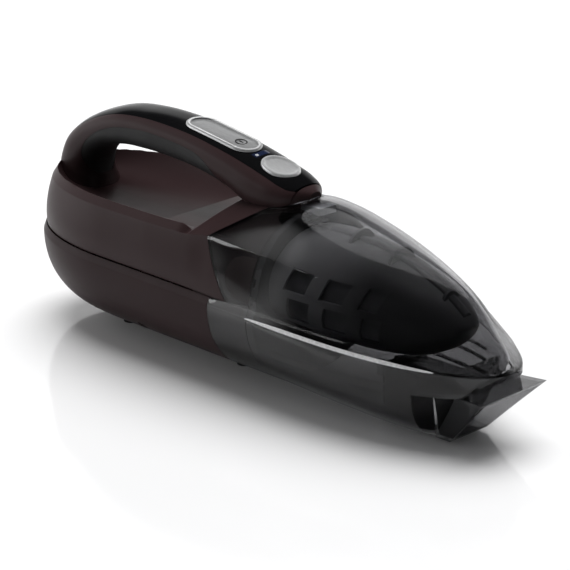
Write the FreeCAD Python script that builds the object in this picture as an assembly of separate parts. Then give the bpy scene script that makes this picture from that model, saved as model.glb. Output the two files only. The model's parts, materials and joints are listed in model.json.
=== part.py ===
# Cordless handheld vacuum cleaner, modelled as an assembly of separate pieces.
# Frame: +X runs from the rounded rear end to the nozzle, +Y is the machine's left
# side, +Z up.  The origin is the centre of the footprint at floor level.
import FreeCAD, Part, math, os
from FreeCAD import Vector as V

os.makedirs("parts", exist_ok=True)

# ---------------------------------------------------------------- driving sizes (mm)
LENGTH_REAR   = -187.0      # rear tip of the casing
NOSE_TIP      = 181.0       # front tip of the dust container
LIP_X         = 183.0       # upper lip of the nozzle
HALF_W        = 54.5        # half width at the ledge
LEDGE_Z       = 52.5        # height of the ledge on the lower casing
WALL          = 2.4         # casing wall
BOX_WALL      = 2.2         # dust container wall
SEAM_X        = -4.0        # joint between lower casing and container
SPIGOT_X      = 26.0        # front end of the casing's spigot inside the container
GAP           = 0.35        # running gap between casing and container
MOTOR_Z       = 58.0        # motor axis height
DX            = 2.0         # shift that centres the footprint on the origin

# ---------------------------------------------------------------- small helpers
def tab(table, x):
    """Monotone cubic interpolation of a table of (x, value)."""
    n = len(table)
    if x <= table[0][0]: return table[0][1]
    if x >= table[-1][0]: return table[-1][1]
    h = [table[i+1][0]-table[i][0] for i in range(n-1)]
    d = [(table[i+1][1]-table[i][1])/h[i] for i in range(n-1)]
    m = [d[0]]
    for i in range(1, n-1):
        if d[i-1]*d[i] <= 0: m.append(0.0)
        else:
            w1, w2 = 2*h[i]+h[i-1], h[i]+2*h[i-1]
            m.append((w1+w2)/(w1/d[i-1]+w2/d[i]))
    m.append(d[-1])
    for i in range(n-1):
        if x <= table[i+1][0]:
            t = (x-table[i][0])/h[i]
            return ((1+2*t)*(1-t)**2*table[i][1] + t*(1-t)**2*h[i]*m[i]
                    + t*t*(3-2*t)*table[i+1][1] + t*t*(t-1)*h[i]*m[i+1])

def sup(t, n):
    return max(0.0, 1.0-min(1.0, abs(t))**n)**(1.0/n)

def spline(pts):
    c = Part.BSplineCurve()
    c.interpolate([V(*p) for p in pts])
    return c.toShape()

def line(a, b):
    return Part.makeLine(V(*a), V(*b))

def loft(wires, ruled=False):
    return Part.makeLoft(wires, True, ruled)

def box(x0, x1, y0, y1, z0, z1):
    return Part.makeBox(x1-x0, y1-y0, z1-z0, V(x0, y0, z0))

def cyl(r, h, base, axis):
    return Part.makeCylinder(r, h, V(*base), V(*axis))

def prism_y(poly, y0, y1):
    """Polygon in XZ, extruded along Y."""
    w = Part.makePolygon([V(x, y0, z) for x, z in poly]+[V(poly[0][0], y0, poly[0][1])])
    return Part.Face(w).extrude(V(0, y1-y0, 0))

def prism_z(poly, z0, z1):
    w = Part.makePolygon([V(x, y, z0) for x, y in poly]+[V(poly[0][0], poly[0][1], z0)])
    return Part.Face(w).extrude(V(0, 0, z1-z0))

def rounded_slab(x0, x1, y0, y1, z0, z1, r):
    """Box with rounded corners in plan."""
    b = box(x0, x1, y0, y1, z0, z1)
    es = [e for e in b.Edges if abs(e.Vertexes[0].X-e.Vertexes[1].X) < 1e-6 and abs(e.Vertexes[0].Y-e.Vertexes[1].Y) < 1e-6]
    return b.makeFillet(r, es)

def solids(s):
    return [q for q in s.Solids if q.Volume > 0.5]

def biggest(s):
    return max(s.Solids, key=lambda q: q.Volume)

NODES = {}
def node(name, *shapes):
    out = []
    for s in shapes:
        out += solids(s)
    NODES[name] = Part.makeCompound(out) if len(out) > 1 else out[0]

# ---------------------------------------------------------------- outer form of the machine
def w_ledge(x):                       # half width at the ledge
    if x < -100: return HALF_W*sup((-100-x)/(-100-LENGTH_REAR), 2.15)
    if x > 30:   return HALF_W*sup((x-30)/(NOSE_TIP-30), 2.05)
    return HALF_W
Z_LEDGE = [(-187, 53.0), (40, 52.5), (110, 50.5), (181, 47.5)]
def z_ledge(x): return tab(Z_LEDGE, x)
DEPTH_F = [(-10, 50.0), (60, 49.5), (140, 46.8), (160, 44.0), (181, 20.0)]
def depth(x):                         # hull depth below the ledge
    if x < -110: return 50.0*sup((-110-x)/(-110-LENGTH_REAR), 2.7)
    return tab(DEPTH_F, x)
def squareness(x): return tab([(40, 2.12), (90, 2.4), (140, 2.9), (181, 2.9)], x)
W_SH = [(-60, 49.5), (-26, 48.0), (-9, 45.5), (13, 44.0), (58, 41.0)]
W_SH2 = [(120, 26.5), (133, 20.0), (145, 14.5), (155, 10.5), (165, 7.0), (175, 4.2), (181, 1.5)]
def w_sh(x):                          # half width at the shoulder crease
    if x < -95: return 49.5*sup((-95-x)/(-95+180.0), 2.2)
    if x <= 58: return tab(W_SH, x)
    return tab([(58, 41.0), (80, 38.3), (97, 34.5), (109, 30.8)]+W_SH2, x)
Z_SH = [(-187, 87.0), (-60, 88.0), (-26, 89.0), (-9, 91.0), (13, 89.5), (58, 86.5), (97, 80.5), (109, 78.2), (133, 75.5), (150, 74.5), (156, 72.5), (165, 65.0), (175, 56.0), (181, 50.6)]
def z_sh(x): return tab(Z_SH, x)
Z_TOP = [(-60, 102.0), (-27, 105.5), (0, 108.5), (20, 112.0), (35, 114.0), (45, 113.5), (70, 109.0), (93, 103.8), (117, 98.0), (140, 90.5), (150, 84.5), (157, 77.5), (165, 68.6), (175, 57.8), (181, 52.0)]
def z_top(x): return tab(Z_TOP, x)
Z_VALLEY = [(-187, 84.0), (-160, 79.0), (-110, 77.0), (-60, 79.0), (-27, 84.0)]

def hull_pts(x, off=0.0, n=13):
    """Half ellipse below the ledge, from -Y to +Y."""
    a, b, z0 = w_ledge(x)-off, depth(x)-off, z_ledge(x)
    a, b = max(a, 0.4), max(b, 0.4)
    k = 2.0/squareness(x)
    pts = []
    for i in range(n):
        t = math.pi*i/(n-1)
        c, s = math.cos(t), math.sin(t)
        pts.append((x, -a*math.copysign(abs(c)**k, c), z0-b*abs(s)**k))
    return pts

def side_pts(x, wa, za, wb, zb, bulge, sgn):
    """Slightly convex wall from (wa, za) up to (wb, zb)."""
    out = []
    for i in range(5):
        t = i/4.0
        q = 4*t*(1-t)*bulge
        out.append((x, sgn*(wa+(wb-wa)*t+q), za+(zb-za)*t))
    return out

def lower_wire(x, off=0.0, top=4.6, edge=2.4):
    """Lower casing: hull, chamfered ledge, flat top."""
    a = max(w_ledge(x)-off, 0.4)
    e = min(edge, 0.45*a)
    zt = z_ledge(x)+top
    h = hull_pts(x, off)
    L, R = h[0], h[-1]
    tl, tr = (x, -(a-e), zt), (x, (a-e), zt)
    return Part.Wire([spline(h), line(R, tr), line(tr, tl), line(tl, L)])

def upper_rear_wire(x, off=0.0, base=57.1):
    """Upper casing behind the hand pocket's front edge: wall, shoulder band, valley floor."""
    wa = max(w_ledge(x)-3.0-off, 0.5)
    ws = max(w_sh(x)-off, 0.5)
    zs = z_sh(x)-0.3*off
    band = min(4.4, 0.35*ws)
    wi, zi = max(ws-band, 0.3), zs+4.4-0.4*off
    zv = tab(Z_VALLEY, x)-off
    bul = 2.6*min(1.0, ws/30.0)
    R = side_pts(x, wa, base, ws, zs, bul, 1)
    L = side_pts(x, wa, base, ws, zs, bul, -1)
    ri, li = (x, wi, zi), (x, -wi, zi)
    k = wi
    dip = zi-zv
    fl = []
    for i in range(11):
        y = k-2*k*i/10.0
        u = abs(y)/k
        fl.append((x, y, zv+dip*u**3.2))
    return Part.Wire([line(L[0], R[0]), spline(R), line(R[-1], ri), spline(fl), line(li, L[-1]), spline(L[::-1])])

def crown(x, ws, zs, zt):
    out = []
    for i in range(9):
        y = ws-2*ws*i/8.0
        u = abs(y)/ws
        out.append((x, y, zs+(zt-zs)*(1-u**1.9)))
    return out

def hood_wire(x, off=0.0, base=57.1):
    """Upper casing ahead of the pocket: wall and crowned hood."""
    wa = w_ledge(x)-(3.0-0.6*min(1.0, max(0.0, (x+30)/25.0)))-off
    ws = w_sh(x)-off
    zs, zt = z_sh(x)-0.3*off, z_top(x)-off
    R = side_pts(x, wa, base, ws, zs, 2.6, 1)
    L = side_pts(x, wa, base, ws, zs, 2.6, -1)
    return Part.Wire([line(L[0], R[0]), spline(R), spline(crown(x, ws, zs, zt)), spline(L[::-1])])

def front_wire(x, off=0.0):
    """Complete closed section of the front: hull, ledge chamfer, wall, crowned hood."""
    a = max(w_ledge(x)-off, 0.5)
    e = min(2.4, 0.45*a)
    ch = 4.6*min(1.0, max(0.12, (NOSE_TIP-x)/25.0))
    ws = max(w_sh(x)-off, 0.3)
    zl = z_ledge(x)
    zb = zl+ch
    zs = max(z_sh(x)-0.3*off, zb+0.5)
    zt = max(z_top(x)-off, zs+0.4)
    bul = 2.6*min(1.0, ws/30.0)*min(1.0, (zs-zb)/25.0)
    h = hull_pts(x, off)
    h[0], h[-1] = (x, -a, zl), (x, a, zl)
    R = side_pts(x, a-e, zb, ws, zs, bul, 1)
    L = side_pts(x, a-e, zb, ws, zs, bul, -1)
    return Part.Wire([spline(h), line(h[-1], R[0]), spline(R), spline(crown(x, ws, zs, zt)), spline(L[::-1]), line(L[0], h[0])])

def stations(x0, x1, n, ends="both"):
    out = []
    for i in range(n):
        t = i/(n-1.0)
        if ends == "rear": t = 1-math.cos(t*math.pi/2)
        elif ends == "front": t = math.sin(t*math.pi/2)
        out.append(x0+(x1-x0)*t)
    return out

# Seam between the casing and the container, in side view.
SEAM = [(SEAM_X, -5), (SEAM_X, 56), (8.5, 57.3), (-12, 90.5), (-9, 93), (13, 109), (31, 119.5), (60, 140)]
def ahead(shift=0.0):
    return prism_y([(x+shift, z) for x, z in SEAM]+[(300, 140), (300, -5)], -80, 80)
def behind(shift=0.0):
    return prism_y([(x+shift, z) for x, z in SEAM]+[(60, 150), (-300, 150), (-300, -5)], -80, 80)

REAR = LENGTH_REAR+0.25
hull_out = loft([lower_wire(x) for x in stations(REAR, -60, 13, "rear")+[-30, SEAM_X]])
hull_in = loft([lower_wire(x, WALL, top=6.5, edge=0.2) for x in stations(REAR+3.0, -60, 13, "rear")+[-30, SEAM_X+1]])
rear_out = loft([upper_rear_wire(x) for x in stations(-179.6, -60, 13, "rear")+[-40, -24]])
rear_in = loft([upper_rear_wire(x, WALL, base=55.0) for x in stations(-176.0, -60, 13, "rear")+[-40, -23.5]])
hood_out = loft([hood_wire(x) for x in [-42, -28, -15, 0, 15, 30, 45]])
hood_in = loft([hood_wire(x, WALL, base=55.0) for x in [-42, -28, -15, 0, 15, 30, 46]])
POCKET = [(-60, 60), (-45.5, 63), (-24, 94), (-10, 114), (-10, 140), (-60, 140)]   # space behind the hood's rear face
pocket_cut = prism_y(POCKET, -80, 80)
pocket_cut_in = prism_y([(x+2.9, z) for x, z in POCKET], -80, 80)
hood_out = hood_out.cut(pocket_cut)
hood_in = hood_in.cut(pocket_cut_in)

# ---------------------------------------------------------------- handle
# Outer and inner points along the arch, half width, share of the height that is grip.
ARCH = [
    (-181.5,  84.0, -144.0,  71.0, 19.0, 0.00),
    (-181.0,  95.0, -150.5,  86.0, 16.0, 0.02),
    (-174.0, 107.5, -150.5,  95.5, 16.5, 0.24),
    (-162.0, 118.3, -145.5, 102.5, 17.0, 0.36),
    (-148.0, 126.6, -136.0, 108.0, 17.5, 0.47),
    (-130.0, 133.6, -122.5, 111.3, 17.9, 0.56),
    (-105.0, 137.4, -100.0, 112.8, 18.0, 0.62),
    ( -75.0, 137.7,  -76.0, 112.6, 18.3, 0.62),
    ( -48.0, 135.5,  -52.0, 110.8, 18.8, 0.60),
    ( -22.0, 131.0,  -30.0, 106.5, 19.5, 0.56),
    (   0.0, 126.0,   -8.0,  99.0, 20.0, 0.50),
    (  14.0, 122.2,    9.0, 100.0, 18.0, 0.40),
    (  24.0, 119.0,   21.0, 102.0, 12.8, 0.30),
    (  30.5, 116.6,   28.5, 104.0,  5.0, 0.20),
]
def arch_h(o): return math.hypot(o[0]-o[2], o[1]-o[3])
def arch_wire(o, n=9, sq_top=2.5, sq_bot=2.2, inset=0.0):
    """Closed section between the inner and outer points of the arch: an upper and a lower half."""
    O, I = V(o[0], 0, o[1]), V(o[2], 0, o[3])
    ax = O-I; h = ax.Length; ax.normalize()
    w = o[4]-inset
    hh = h/2-inset
    def half(sg, e):
        pts = []
        for i in range(n):
            t = math.pi*i/(n-1)
            c, s = math.cos(t), math.sin(t)
            y = w*math.copysign(abs(c)**(2.0/e), c)*sg
            a = h/2+sg*hh*abs(s)**(2.0/e)
            p = I+ax*a
            pts.append(V(p.x, y, p.z))
        c = Part.BSplineCurve()
        c.interpolate(pts, InitialTangent=ax*sg, FinalTangent=ax*(-sg))
        return c.toShape()
    return Part.Wire([half(1, sq_top), half(-1, sq_bot)])

def arch_rect(o, y, a0, a1):
    """Rectangular section in the arch's local frame, heights a0 and a1 above the inner point."""
    O, I = V(o[0], 0, o[1]), V(o[2], 0, o[3])
    ax = O-I; ax.normalize()
    p, q = I+ax*a0, I+ax*a1
    return Part.makePolygon([V(p.x, -y, p.z), V(p.x, y, p.z), V(q.x, y, q.z), V(q.x, -y, q.z), V(p.x, -y, p.z)])

TRIM_T, TRIM_W = 3.0, 14.3
handle = loft([arch_wire(o) for o in ARCH])
handle_fat = loft([arch_wire(o, inset=-0.8) for o in ARCH[5:]])
tip = ARCH[-1]
handle_clear = loft([arch_wire(o, inset=-0.9) for o in ARCH[:-1]]+[arch_wire((tip[0]+1.1, tip[1], tip[2]+1.1, tip[3], tip[4], 0), inset=-0.9)])
trim_cut = loft([arch_rect(o, min(TRIM_W, o[4]-3.2), arch_h(o)-TRIM_T, arch_h(o)+8) for o in ARCH[1:13]])
grip_cut = loft([arch_rect(o, 30, -8, arch_h(o)*o[5]) for o in ARCH[1:10]])
core_cut = loft([arch_rect(o, min(11.0, o[4]-6.5), 7.0, arch_h(o)-TRIM_T-2.2) for o in ARCH[1:13]])

# ---------------------------------------------------------------- lever, button and slider layout
PIVOT = (-22.0, 117.0)                # pivot of the container latch
LATCH_DEG = 5.0
LEVER_TOP = [(-23, 119.2), (-8, 118.0), (1, 116.4), (10, 112.6), (22, 109.2), (26, 108.2), (34.8, 108.2), (34.8, 109.2), (40.5, 109.2)]
LEVER_BOT = [(40.5, 105.2), (24, 105.2), (10, 108.0), (-2, 111.6), (-23, 114.6)]
lever_path = [(-34, 121.5)]+[(x, z+1.2) for x, z in LEVER_TOP]+[(45, 110.4), (45, 98)]+[
    (x, z-1.2-(x-PIVOT[0])*math.tan(math.radians(LATCH_DEG+0.4))) for x, z in LEVER_BOT]+[(-34, 112.5)]
lever_slot = prism_y(lever_path, -7.6, 7.6)

def d_outline(x0, x1, hw, grow=0.0, z0=90.0, z1=145.0):
    """Rounded oblong prism with its long side along X."""
    r = hw+grow
    r2 = min(r, (x1-x0)/2+grow-0.01)
    return rounded_slab(x0-grow, x1+grow, -r, r, z0, z1, r2*0.97)

BTN = (-10.0, 14.0, 10.8)
btn_hole = d_outline(*BTN, grow=0.4, z0=110.0)

TILT = 7.6                            # slope of the handle under the slide switch, degrees
SL_T = 6.0                            # travel of the slide switch
SLP = V(-45.0, 0, 135.2)
def tilt(s):
    s = s.copy()
    s.rotate(V(0, 0, 0), V(0, 1, 0), TILT)
    s.translate(SLP)
    return s
recess = tilt(rounded_slab(-28.4, 28.4+SL_T, -10.9, 10.9, -1.9, 12, 10.6))
slide_prism = tilt(rounded_slab(-28.0, 28.0, -10.5, 10.5, -1.5, 12, 10.3))
stem_slot = tilt(box(-9.0, 9.0+SL_T, -3.6, 3.6, -12, 0))

# ---------------------------------------------------------------- casing
casing_cut = hood_out.cut(ahead(0.0))
shell = rear_out.fuse(casing_cut).fuse(handle)
inner = rear_in.fuse(hood_in)
post_z = 57.1
posts = []
POST_XY = [(-160.0, 19.0), (-160.0, -19.0), (-78.0, 37.0), (-78.0, -37.0)]
BOSS_XZ = [(-166.0, 70.0), (-84.0, 70.5), (-17.0, 97.0)]
shell = shell.cut(inner)
outer_up = rear_out.fuse(casing_cut)
for x, y in POST_XY:
    p = cyl(4.5, 30, (x, y, post_z+0.1), (0, 0, 1)).common(outer_up)
    shell = shell.fuse(p)
for x, z in BOSS_XZ:
    p = cyl(3.6, 110, (x, -55, z), (0, 1, 0)).common(outer_up)
    shell = shell.fuse(p)
# the trim, grip and tunnel only cut the arch, so each is limited to the arch itself
trim_vol = trim_cut.common(handle)
grip_vol = grip_cut.common(handle)
shell = shell.cut(trim_vol).cut(grip_vol).cut(core_cut).cut(lever_slot).cut(btn_hole).cut(stem_slot)
shell = shell.cut(cyl(1.5, 27, (PIVOT[0], -13.5, PIVOT[1]), (0, 1, 0)))
shell = shell.cut(cyl(3.4, 14.0, (1.0, 0, 101.0), (0, 0, 1)))
for x, y in POST_XY:
    shell = shell.cut(cyl(1.25, 14, (x, y, 57), (0, 0, 1)))
for x, z in BOSS_XZ:
    shell = shell.cut(cyl(1.25, 60, (x, -30, z), (0, 1, 0)))
lens_slot = box(-16.6, -12.2, -6.0, 6.0, 112, 140)
shell = shell.cut(lens_slot)
right_half = biggest(shell.common(box(-250, 100, -90, 0, -10, 200)))
left_half = right_half.mirror(V(0, 0, 0), V(0, 1, 0))
for x, z in BOSS_XZ:                  # the screw heads sit in the left half
    left_half = left_half.cut(cyl(2.9, 60, (x, 28, z), (0, 1, 0)))
node("housing_left", biggest(left_half))
node("housing_right", right_half)

trim = trim_vol.cut(recess).cut(btn_hole).cut(stem_slot).cut(lens_slot)
node("handle_top_trim", biggest(trim))
grip = grip_vol.cut(core_cut)
node("handle_grip", biggest(grip))

# ---------------------------------------------------------------- switch, button and latch
cap = slide_prism.common(handle_fat)
cap = cap.cut(tilt(Part.makeSphere(30.0, V(-13.0, 0, 30.9))))
cap = cap.fuse(tilt(rounded_slab(1.5, 3.6, -7.5, 7.5, 0, 0.9, 1.0)))
node("power_slider", biggest(cap))
carrier = tilt(box(-6.0, 6.0, -3.2, 3.2, -8.6, -1.5).fuse(box(-11.0, 11.0, -8.0, 8.0, -10.4, -8.6)))
node("slider_carrier", carrier)
node("power_microswitch", tilt(box(-6.5, 13.5, -3.0, 3.0, -17.2, -11.5).fuse(box(1.0, 3.0, -1.2, 1.2, -11.5, -10.9))))

btop = prism_y([(-12, 129.6), (16, 122.9), (16, 117.3), (-12, 120.4)], -15, 15)
button = d_outline(*BTN, z0=115.0, z1=135.0).common(btop)
try:
    te = [e for e in button.Edges if e.BoundBox.ZMin > 122.0]
    button = button.makeFillet(0.9, te)
except Exception:
    pass
button = button.cut(Part.makeSphere(34.0, V(4.0, 0, 159.0)))
button = button.fuse(box(-0.5, 2.5, -3.0, 3.0, 117.0, 121.0))
node("release_button", biggest(button))

lever = prism_y(LEVER_TOP+LEVER_BOT, -5.0, 5.0).fuse(cyl(3.2, 10, (PIVOT[0], -5, PIVOT[1]), (0, 1, 0)))
lever = lever.fuse(box(34.8, 40.5, -6.5, 6.5, 105.2, 109.2)).cut(cyl(1.56, 20, (PIVOT[0], -10, PIVOT[1]), (0, 1, 0)))
node("release_latch", biggest(lever))
node("latch_pin", cyl(1.5, 27, (PIVOT[0], -13.5, PIVOT[1]), (0, 1, 0)))
# coil spring under the lever
SPR_Z0, SPR_Z1, SPR_R, SPR_W = 101.0, 109.6, 2.6, 0.35
hx = Part.makeHelix((SPR_Z1-SPR_Z0-2*SPR_W)/4.0, SPR_Z1-SPR_Z0-2*SPR_W, SPR_R)
hx.translate(V(1.0, 0, SPR_Z0+SPR_W))
ring0 = Part.Wire([Part.makeCircle(SPR_W, V(1.0+SPR_R, 0, SPR_Z0+SPR_W), V(0, 1, 0))])
node("latch_spring", Part.Wire(hx.Edges).makePipeShell([ring0], True, True))
# window behind the button that shows the charge state, with its small board below
lens = box(-16.4, -12.4, -5.8, 5.8, 125.0, 140.0).common(handle)
node("charge_indicator_lens", biggest(lens))
node("indicator_board", box(-17.0, -12.0, -5.8, 5.8, 121.6, 122.8).fuse(cyl(1.2, 1.6, (-14.4, 0, 122.8), (0, 0, 1))))

# ---------------------------------------------------------------- lower casing
lower = hull_out.cut(hull_in)
for x, y in POST_XY:
    lower = lower.fuse(cyl(4.5, 60, (x, y, -3), (0, 0, 1)).common(hull_out))
lower = lower.cut(box(-200, 10, -90, 90, 56.95, 80))
for x, y in POST_XY:
    lower = lower.cut(cyl(1.6, 70, (x, y, -5), (0, 0, 1))).cut(cyl(3.2, 30, (x, y, -5), (0, 0, 1)))
# seat ribs of the motor
rib = box(-66, -62.5, -30, 30, 0, 40).cut(cyl(21.6, 30, (-80, 0, MOTOR_Z-6), (1, 0, 0))).common(hull_out)
lower = lower.fuse(rib)
# exhaust slots in the underside
for i in range(7):
    x = -58.0+6.0*i
    for sg in (-1, 1):
        lower = lower.cut(box(x, x+2.6, min(sg*8, sg*27), max(sg*8, sg*27), -2, 30).cut(box(-66.5, -62, -40, 40, -5, 60)))
# charging inlet at the rear
JZ = 42.0
lower = lower.cut(cyl(4.4, 20, (-190, 0, JZ), (1, 0, 0)))
lower = lower.cut(cyl(6.6, 12.2, (-184.5, 0, JZ), (1, 0, 0)))
node("lower_housing", biggest(lower))
jack = cyl(4.4, 16, (-186.0, 0, JZ), (1, 0, 0)).fuse(cyl(6.6, 2.0, (-184.5, 0, JZ), (1, 0, 0)))
jack = jack.cut(cyl(2.8, 10.5, (-186.6, 0, JZ), (1, 0, 0)))
node("charging_socket", jack)

# ---------------------------------------------------------------- intake collar between casing and container
xs_f = [-14, 0, 15, 30, 45, 60, 75, 90, 102, 113, 123, 132, 140, 147, 153, 158, 163, 168, 172.5, 176.5, 179.5, 181]
OFF_C = BOX_WALL+GAP
c_out = loft([front_wire(x, OFF_C) for x in [-26, -13, 0, 13, 26]])
c_in = loft([front_wire(x, OFF_C+2.0) for x in [-27, -13, 0, 13, 27]])
ring = c_out.cut(c_in).common(box(-20, SPIGOT_X, -90, 90, -5, 130))
plate = c_out.common(box(9.0, 11.5, -90, 90, -5, 130)).cut(cyl(17.0, 20, (0, 0, MOTOR_Z-6), (1, 0, 0)))
grille = None
for k in (-10.2, -3.4, 3.4, 10.2):
    for b in (box(9.0, 11.0, k-0.8, k+0.8, MOTOR_Z-24, MOTOR_Z+12), box(9.0, 11.0, -18, 18, MOTOR_Z-6+k-0.8, MOTOR_Z-6+k+0.8)):
        b = b.common(cyl(17.4, 20, (0, 0, MOTOR_Z-6), (1, 0, 0)))
        grille = b if grille is None else grille.fuse(b)
collar = ring.fuse(plate).fuse(grille)
collar = collar.cut(handle_clear).cut(box(-34, 40, -9.2, 9.2, 97.0, 130))
collar = collar.common(ahead(-40.0))
collar = collar.cut(cyl(4.2, 120, (BOSS_XZ[2][0], -60, BOSS_XZ[2][1]), (0, 1, 0)))
# behind the seam the collar keeps clear of the casing's inside
keep = hull_in.fuse(hood_in).fuse(ahead(0.0)).fuse(box(-20, -3, -70, 70, 50, 64).common(hood_in))
collar = collar.common(keep)
# the container's roof rises towards the front, so the collar stays under the lowest roof
# section that slides over it, which at each height is the one on the seam
def roof_half_width(z, off):
    x = tab([(91.0, -11.3), (93.0, -9.0), (109.0, 13.0), (119.5, 31.0)], z)
    ws, zs, zt = w_sh(x)-off, z_sh(x)-0.3*off, z_top(x)-off
    u = max(0.0, 1-(z-zs)/(zt-zs))
    return ws*u**(1/1.9)
lane = [(roof_half_width(z, OFF_C+0.25), z) for z in (92.0, 94.0, 96.5, 99.0, 101.5, 103.5, 105.0, 106.2, 107.2, 107.8)]
lane = [(60.0, -20.0), (60.0, 91.0), (lane[0][0]+0.6, 91.0)]+lane
lane = lane+[(-y, z) for y, z in lane[::-1]]
lane = Part.Face(Part.makePolygon([V(-12.0, y, z) for y, z in lane]+[V(-12.0, lane[0][0], lane[0][1])])).extrude(V(60, 0, 0))
collar = collar.common(lane.fuse(box(-60, -12.0, -70, 70, -20, 130)))
node("intake_collar", biggest(collar))

# ---------------------------------------------------------------- dust container
f_out = loft([front_wire(x) for x in xs_f])
f_in = loft([front_wire(x, BOX_WALL) for x in [-15]+xs_f[1:-3]+[175.5, 178.2]])
under = prism_y([(140, -5), (140, 34), (166, 35), (183, 49.5), (200, 49.5), (200, -5)], -80, 80)
under_in = prism_y([(140-BOX_WALL, -5), (140-BOX_WALL, 34+BOX_WALL), (165, 35+BOX_WALL), (178.5, 48.9), (200, 70), (200, -5)], -80, 80)
tub = f_out.cut(under).cut(f_in.cut(under_in)).common(ahead(GAP))
tub = tub.cut(handle_clear)
keeper = box(32.0, 34.4, -6.0, 6.0, 109.55, 116).common(f_out)
tub = tub.fuse(keeper)
# low stiffening ribs along the tray floor and the seat of the inlet duct
for z, hw in ((22.0, 0), (30.0, 0)):
    r = f_in.cut(under_in).common(box(44, 128, -80, 80, z, z+1.2))
    rin = loft([front_wire(x, BOX_WALL+1.1) for x in [40, 60, 75, 90, 102, 113, 123, 132]])
    tub = tub.fuse(r.cut(rin))
D_W, D_Z0, D_Z1 = 14.0, 5.4, 33.0     # inlet duct outside
tub = tub.cut(box(130, 150, -D_W, D_W, D_Z0, D_Z1))
node("container_shell", biggest(tub))

# nozzle: flared clear scoop whose mouth faces forward and down
def trap(x, hb, zb, ht, zt):
    return Part.makePolygon([V(x, -hb, zb), V(x, hb, zb), V(x, ht, zt), V(x, -ht, zt), V(x, -hb, zb)])
N_T = 2.0
noz_o = loft([trap(140.05, 16.0, 2.4, 22.0, 34.0-0.05), trap(185, 14.5, 2.4, 28.0, 36.5)], True)
noz_i = loft([trap(138.0, 16.0-N_T, 2.4+N_T, 21.0-N_T, 32.0), trap(187, 14.5-N_T, 2.4+N_T, 27.6-N_T, 34.3)], True)
mouth = prism_y([(150, 2.0), (183.2, 36.8), (190, 36.8), (190, 2.0)], -60, 60)
nozzle = noz_o.cut(noz_i)
nozzle = nozzle.cut(box(139, 141.9, -40, 40, 0, 40)).fuse(noz_o.common(box(139, 142, -40, 40, 0, 40)).cut(box(130, 150, -D_W+1.6, D_W-1.6, D_Z0+1.6, D_Z1-1.6)))
nozzle = nozzle.cut(mouth)
nozzle = nozzle.cut(f_out.cut(under))
node("nozzle", biggest(nozzle))

duct = box(98, 140.0, -D_W, D_W, D_Z0, D_Z1).cut(box(95, 145, -D_W+1.6, D_W-1.6, D_Z0+1.6, D_Z1-1.6))
duct = duct.fuse(box(99.6, 104, -D_W, D_W, D_Z1, D_Z1+1.2)).cut(box(90, 99.2, -40, 40, 0, 50))
for sg in (-1, 1):
    lug = box(94.8, 104.0, sg*(D_W+0.9)-0.9, sg*(D_W+0.9)+0.9, D_Z1-5.5, D_Z1+3.5)
    duct = duct.fuse(lug)
FL_X, FL_Z = 97.3, D_Z1-0.5
duct = duct.cut(cyl(0.85, 40, (FL_X, -20, FL_Z), (0, 1, 0)))
duct = duct.common(f_in)
node("inlet_duct", biggest(duct))
flap = box(FL_X+0.2, FL_X+1.45, -D_W+0.4, D_W-0.4, 7.2, FL_Z).fuse(cyl(1.5, 2*D_W-0.8, (FL_X, -D_W+0.4, FL_Z), (0, 1, 0)))
flap = flap.cut(cyl(0.85, 40, (FL_X, -20, FL_Z), (0, 1, 0)))
node("inlet_flap", flap)
node("flap_pin", cyl(0.8, 2*D_W+3.4, (FL_X, -D_W-1.7, FL_Z), (0, 1, 0)))

# ---------------------------------------------------------------- filter
FX0, FX1, FTIP = 27.2, 31.2, 152.0
fl_out = loft([front_wire(x, BOX_WALL+1.0) for x in [24, 27, 31, 34]])
fl_out = fl_out.common(Part.Face(front_wire(2.0, BOX_WALL+0.9)).extrude(V(60, 0, 0)))
fr = fl_out.common(box(FX0, FX1, -90, 90, -5, 130))
fr = fr.cut(box(20, 40, -10.5, 10.5, 97.0, 130))
def bw(x): return max(38.5*sup((x-31.0)/(FTIP-31.0), 1.95), 0.6)
B_TOP = [(31, 96.5), (45, 97.8), (60, 98.0), (80, 96.8), (100, 93.2), (120, 87.2), (130, 83.2), (140, 77.6), (148, 71.8), (152, 67.5)]
B_BOT = [(31, 40.0), (60, 38.6), (90, 38.6), (117, 42.0), (135, 49.0), (145, 56.0), (152, 66.5)]
def bullet_wire(x, off=0.0, n=17):
    zt, zb = tab(B_TOP, x)-off, tab(B_BOT, x)+off
    w = max(bw(x)-off, 0.3)
    if zt-zb < 0.6: zt, zb = (zt+zb)/2+0.3, (zt+zb)/2-0.3
    zm = zb+(zt-zb)*0.46
    def half(sg):
        h = (zt-zm) if sg > 0 else (zm-zb)
        pts = []
        for i in range(n):
            t = math.pi*i/(n-1)
            pts.append(V(x, w*math.cos(t)*sg, zm+sg*h*math.sin(t)**0.92))
        c = Part.BSplineCurve()
        c.interpolate(pts)
        return c.toShape()
    return Part.Wire([half(1), half(-1)])
bx = [31.2, 45, 60, 75, 90, 103, 115, 125, 133, 139.5, 144.5, 148, 150.3, 151.6]
b0 = loft([bullet_wire(x) for x in bx])
b1 = loft([bullet_wire(x, 1.6) for x in [30.5]+bx[1:-2]+[149.9]])
b2 = loft([bullet_wire(x, 1.75) for x in [31.4]+bx[1:-2]+[149.6]])
b3 = loft([bullet_wire(x, 2.9) for x in [31.0]+bx[1:-3]+[147.6]])
fr = fr.cut(b2.common(box(20, 31.2, -90, 90, 0, 130))).cut(loft([bullet_wire(x, 3.2) for x in [31.2, 45]]).fuse(Part.makeBox(0.1, 0.1, 0.1, V(35, 0, 60))))
hole = Part.Face(bullet_wire(31.2, 3.2)).extrude(V(-8, 0, 0))
fr = fl_out.common(box(FX0, FX1, -90, 90, -5, 130)).cut(box(20, 40, -10.5, 10.5, 97.0, 130)).cut(hole)
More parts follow.
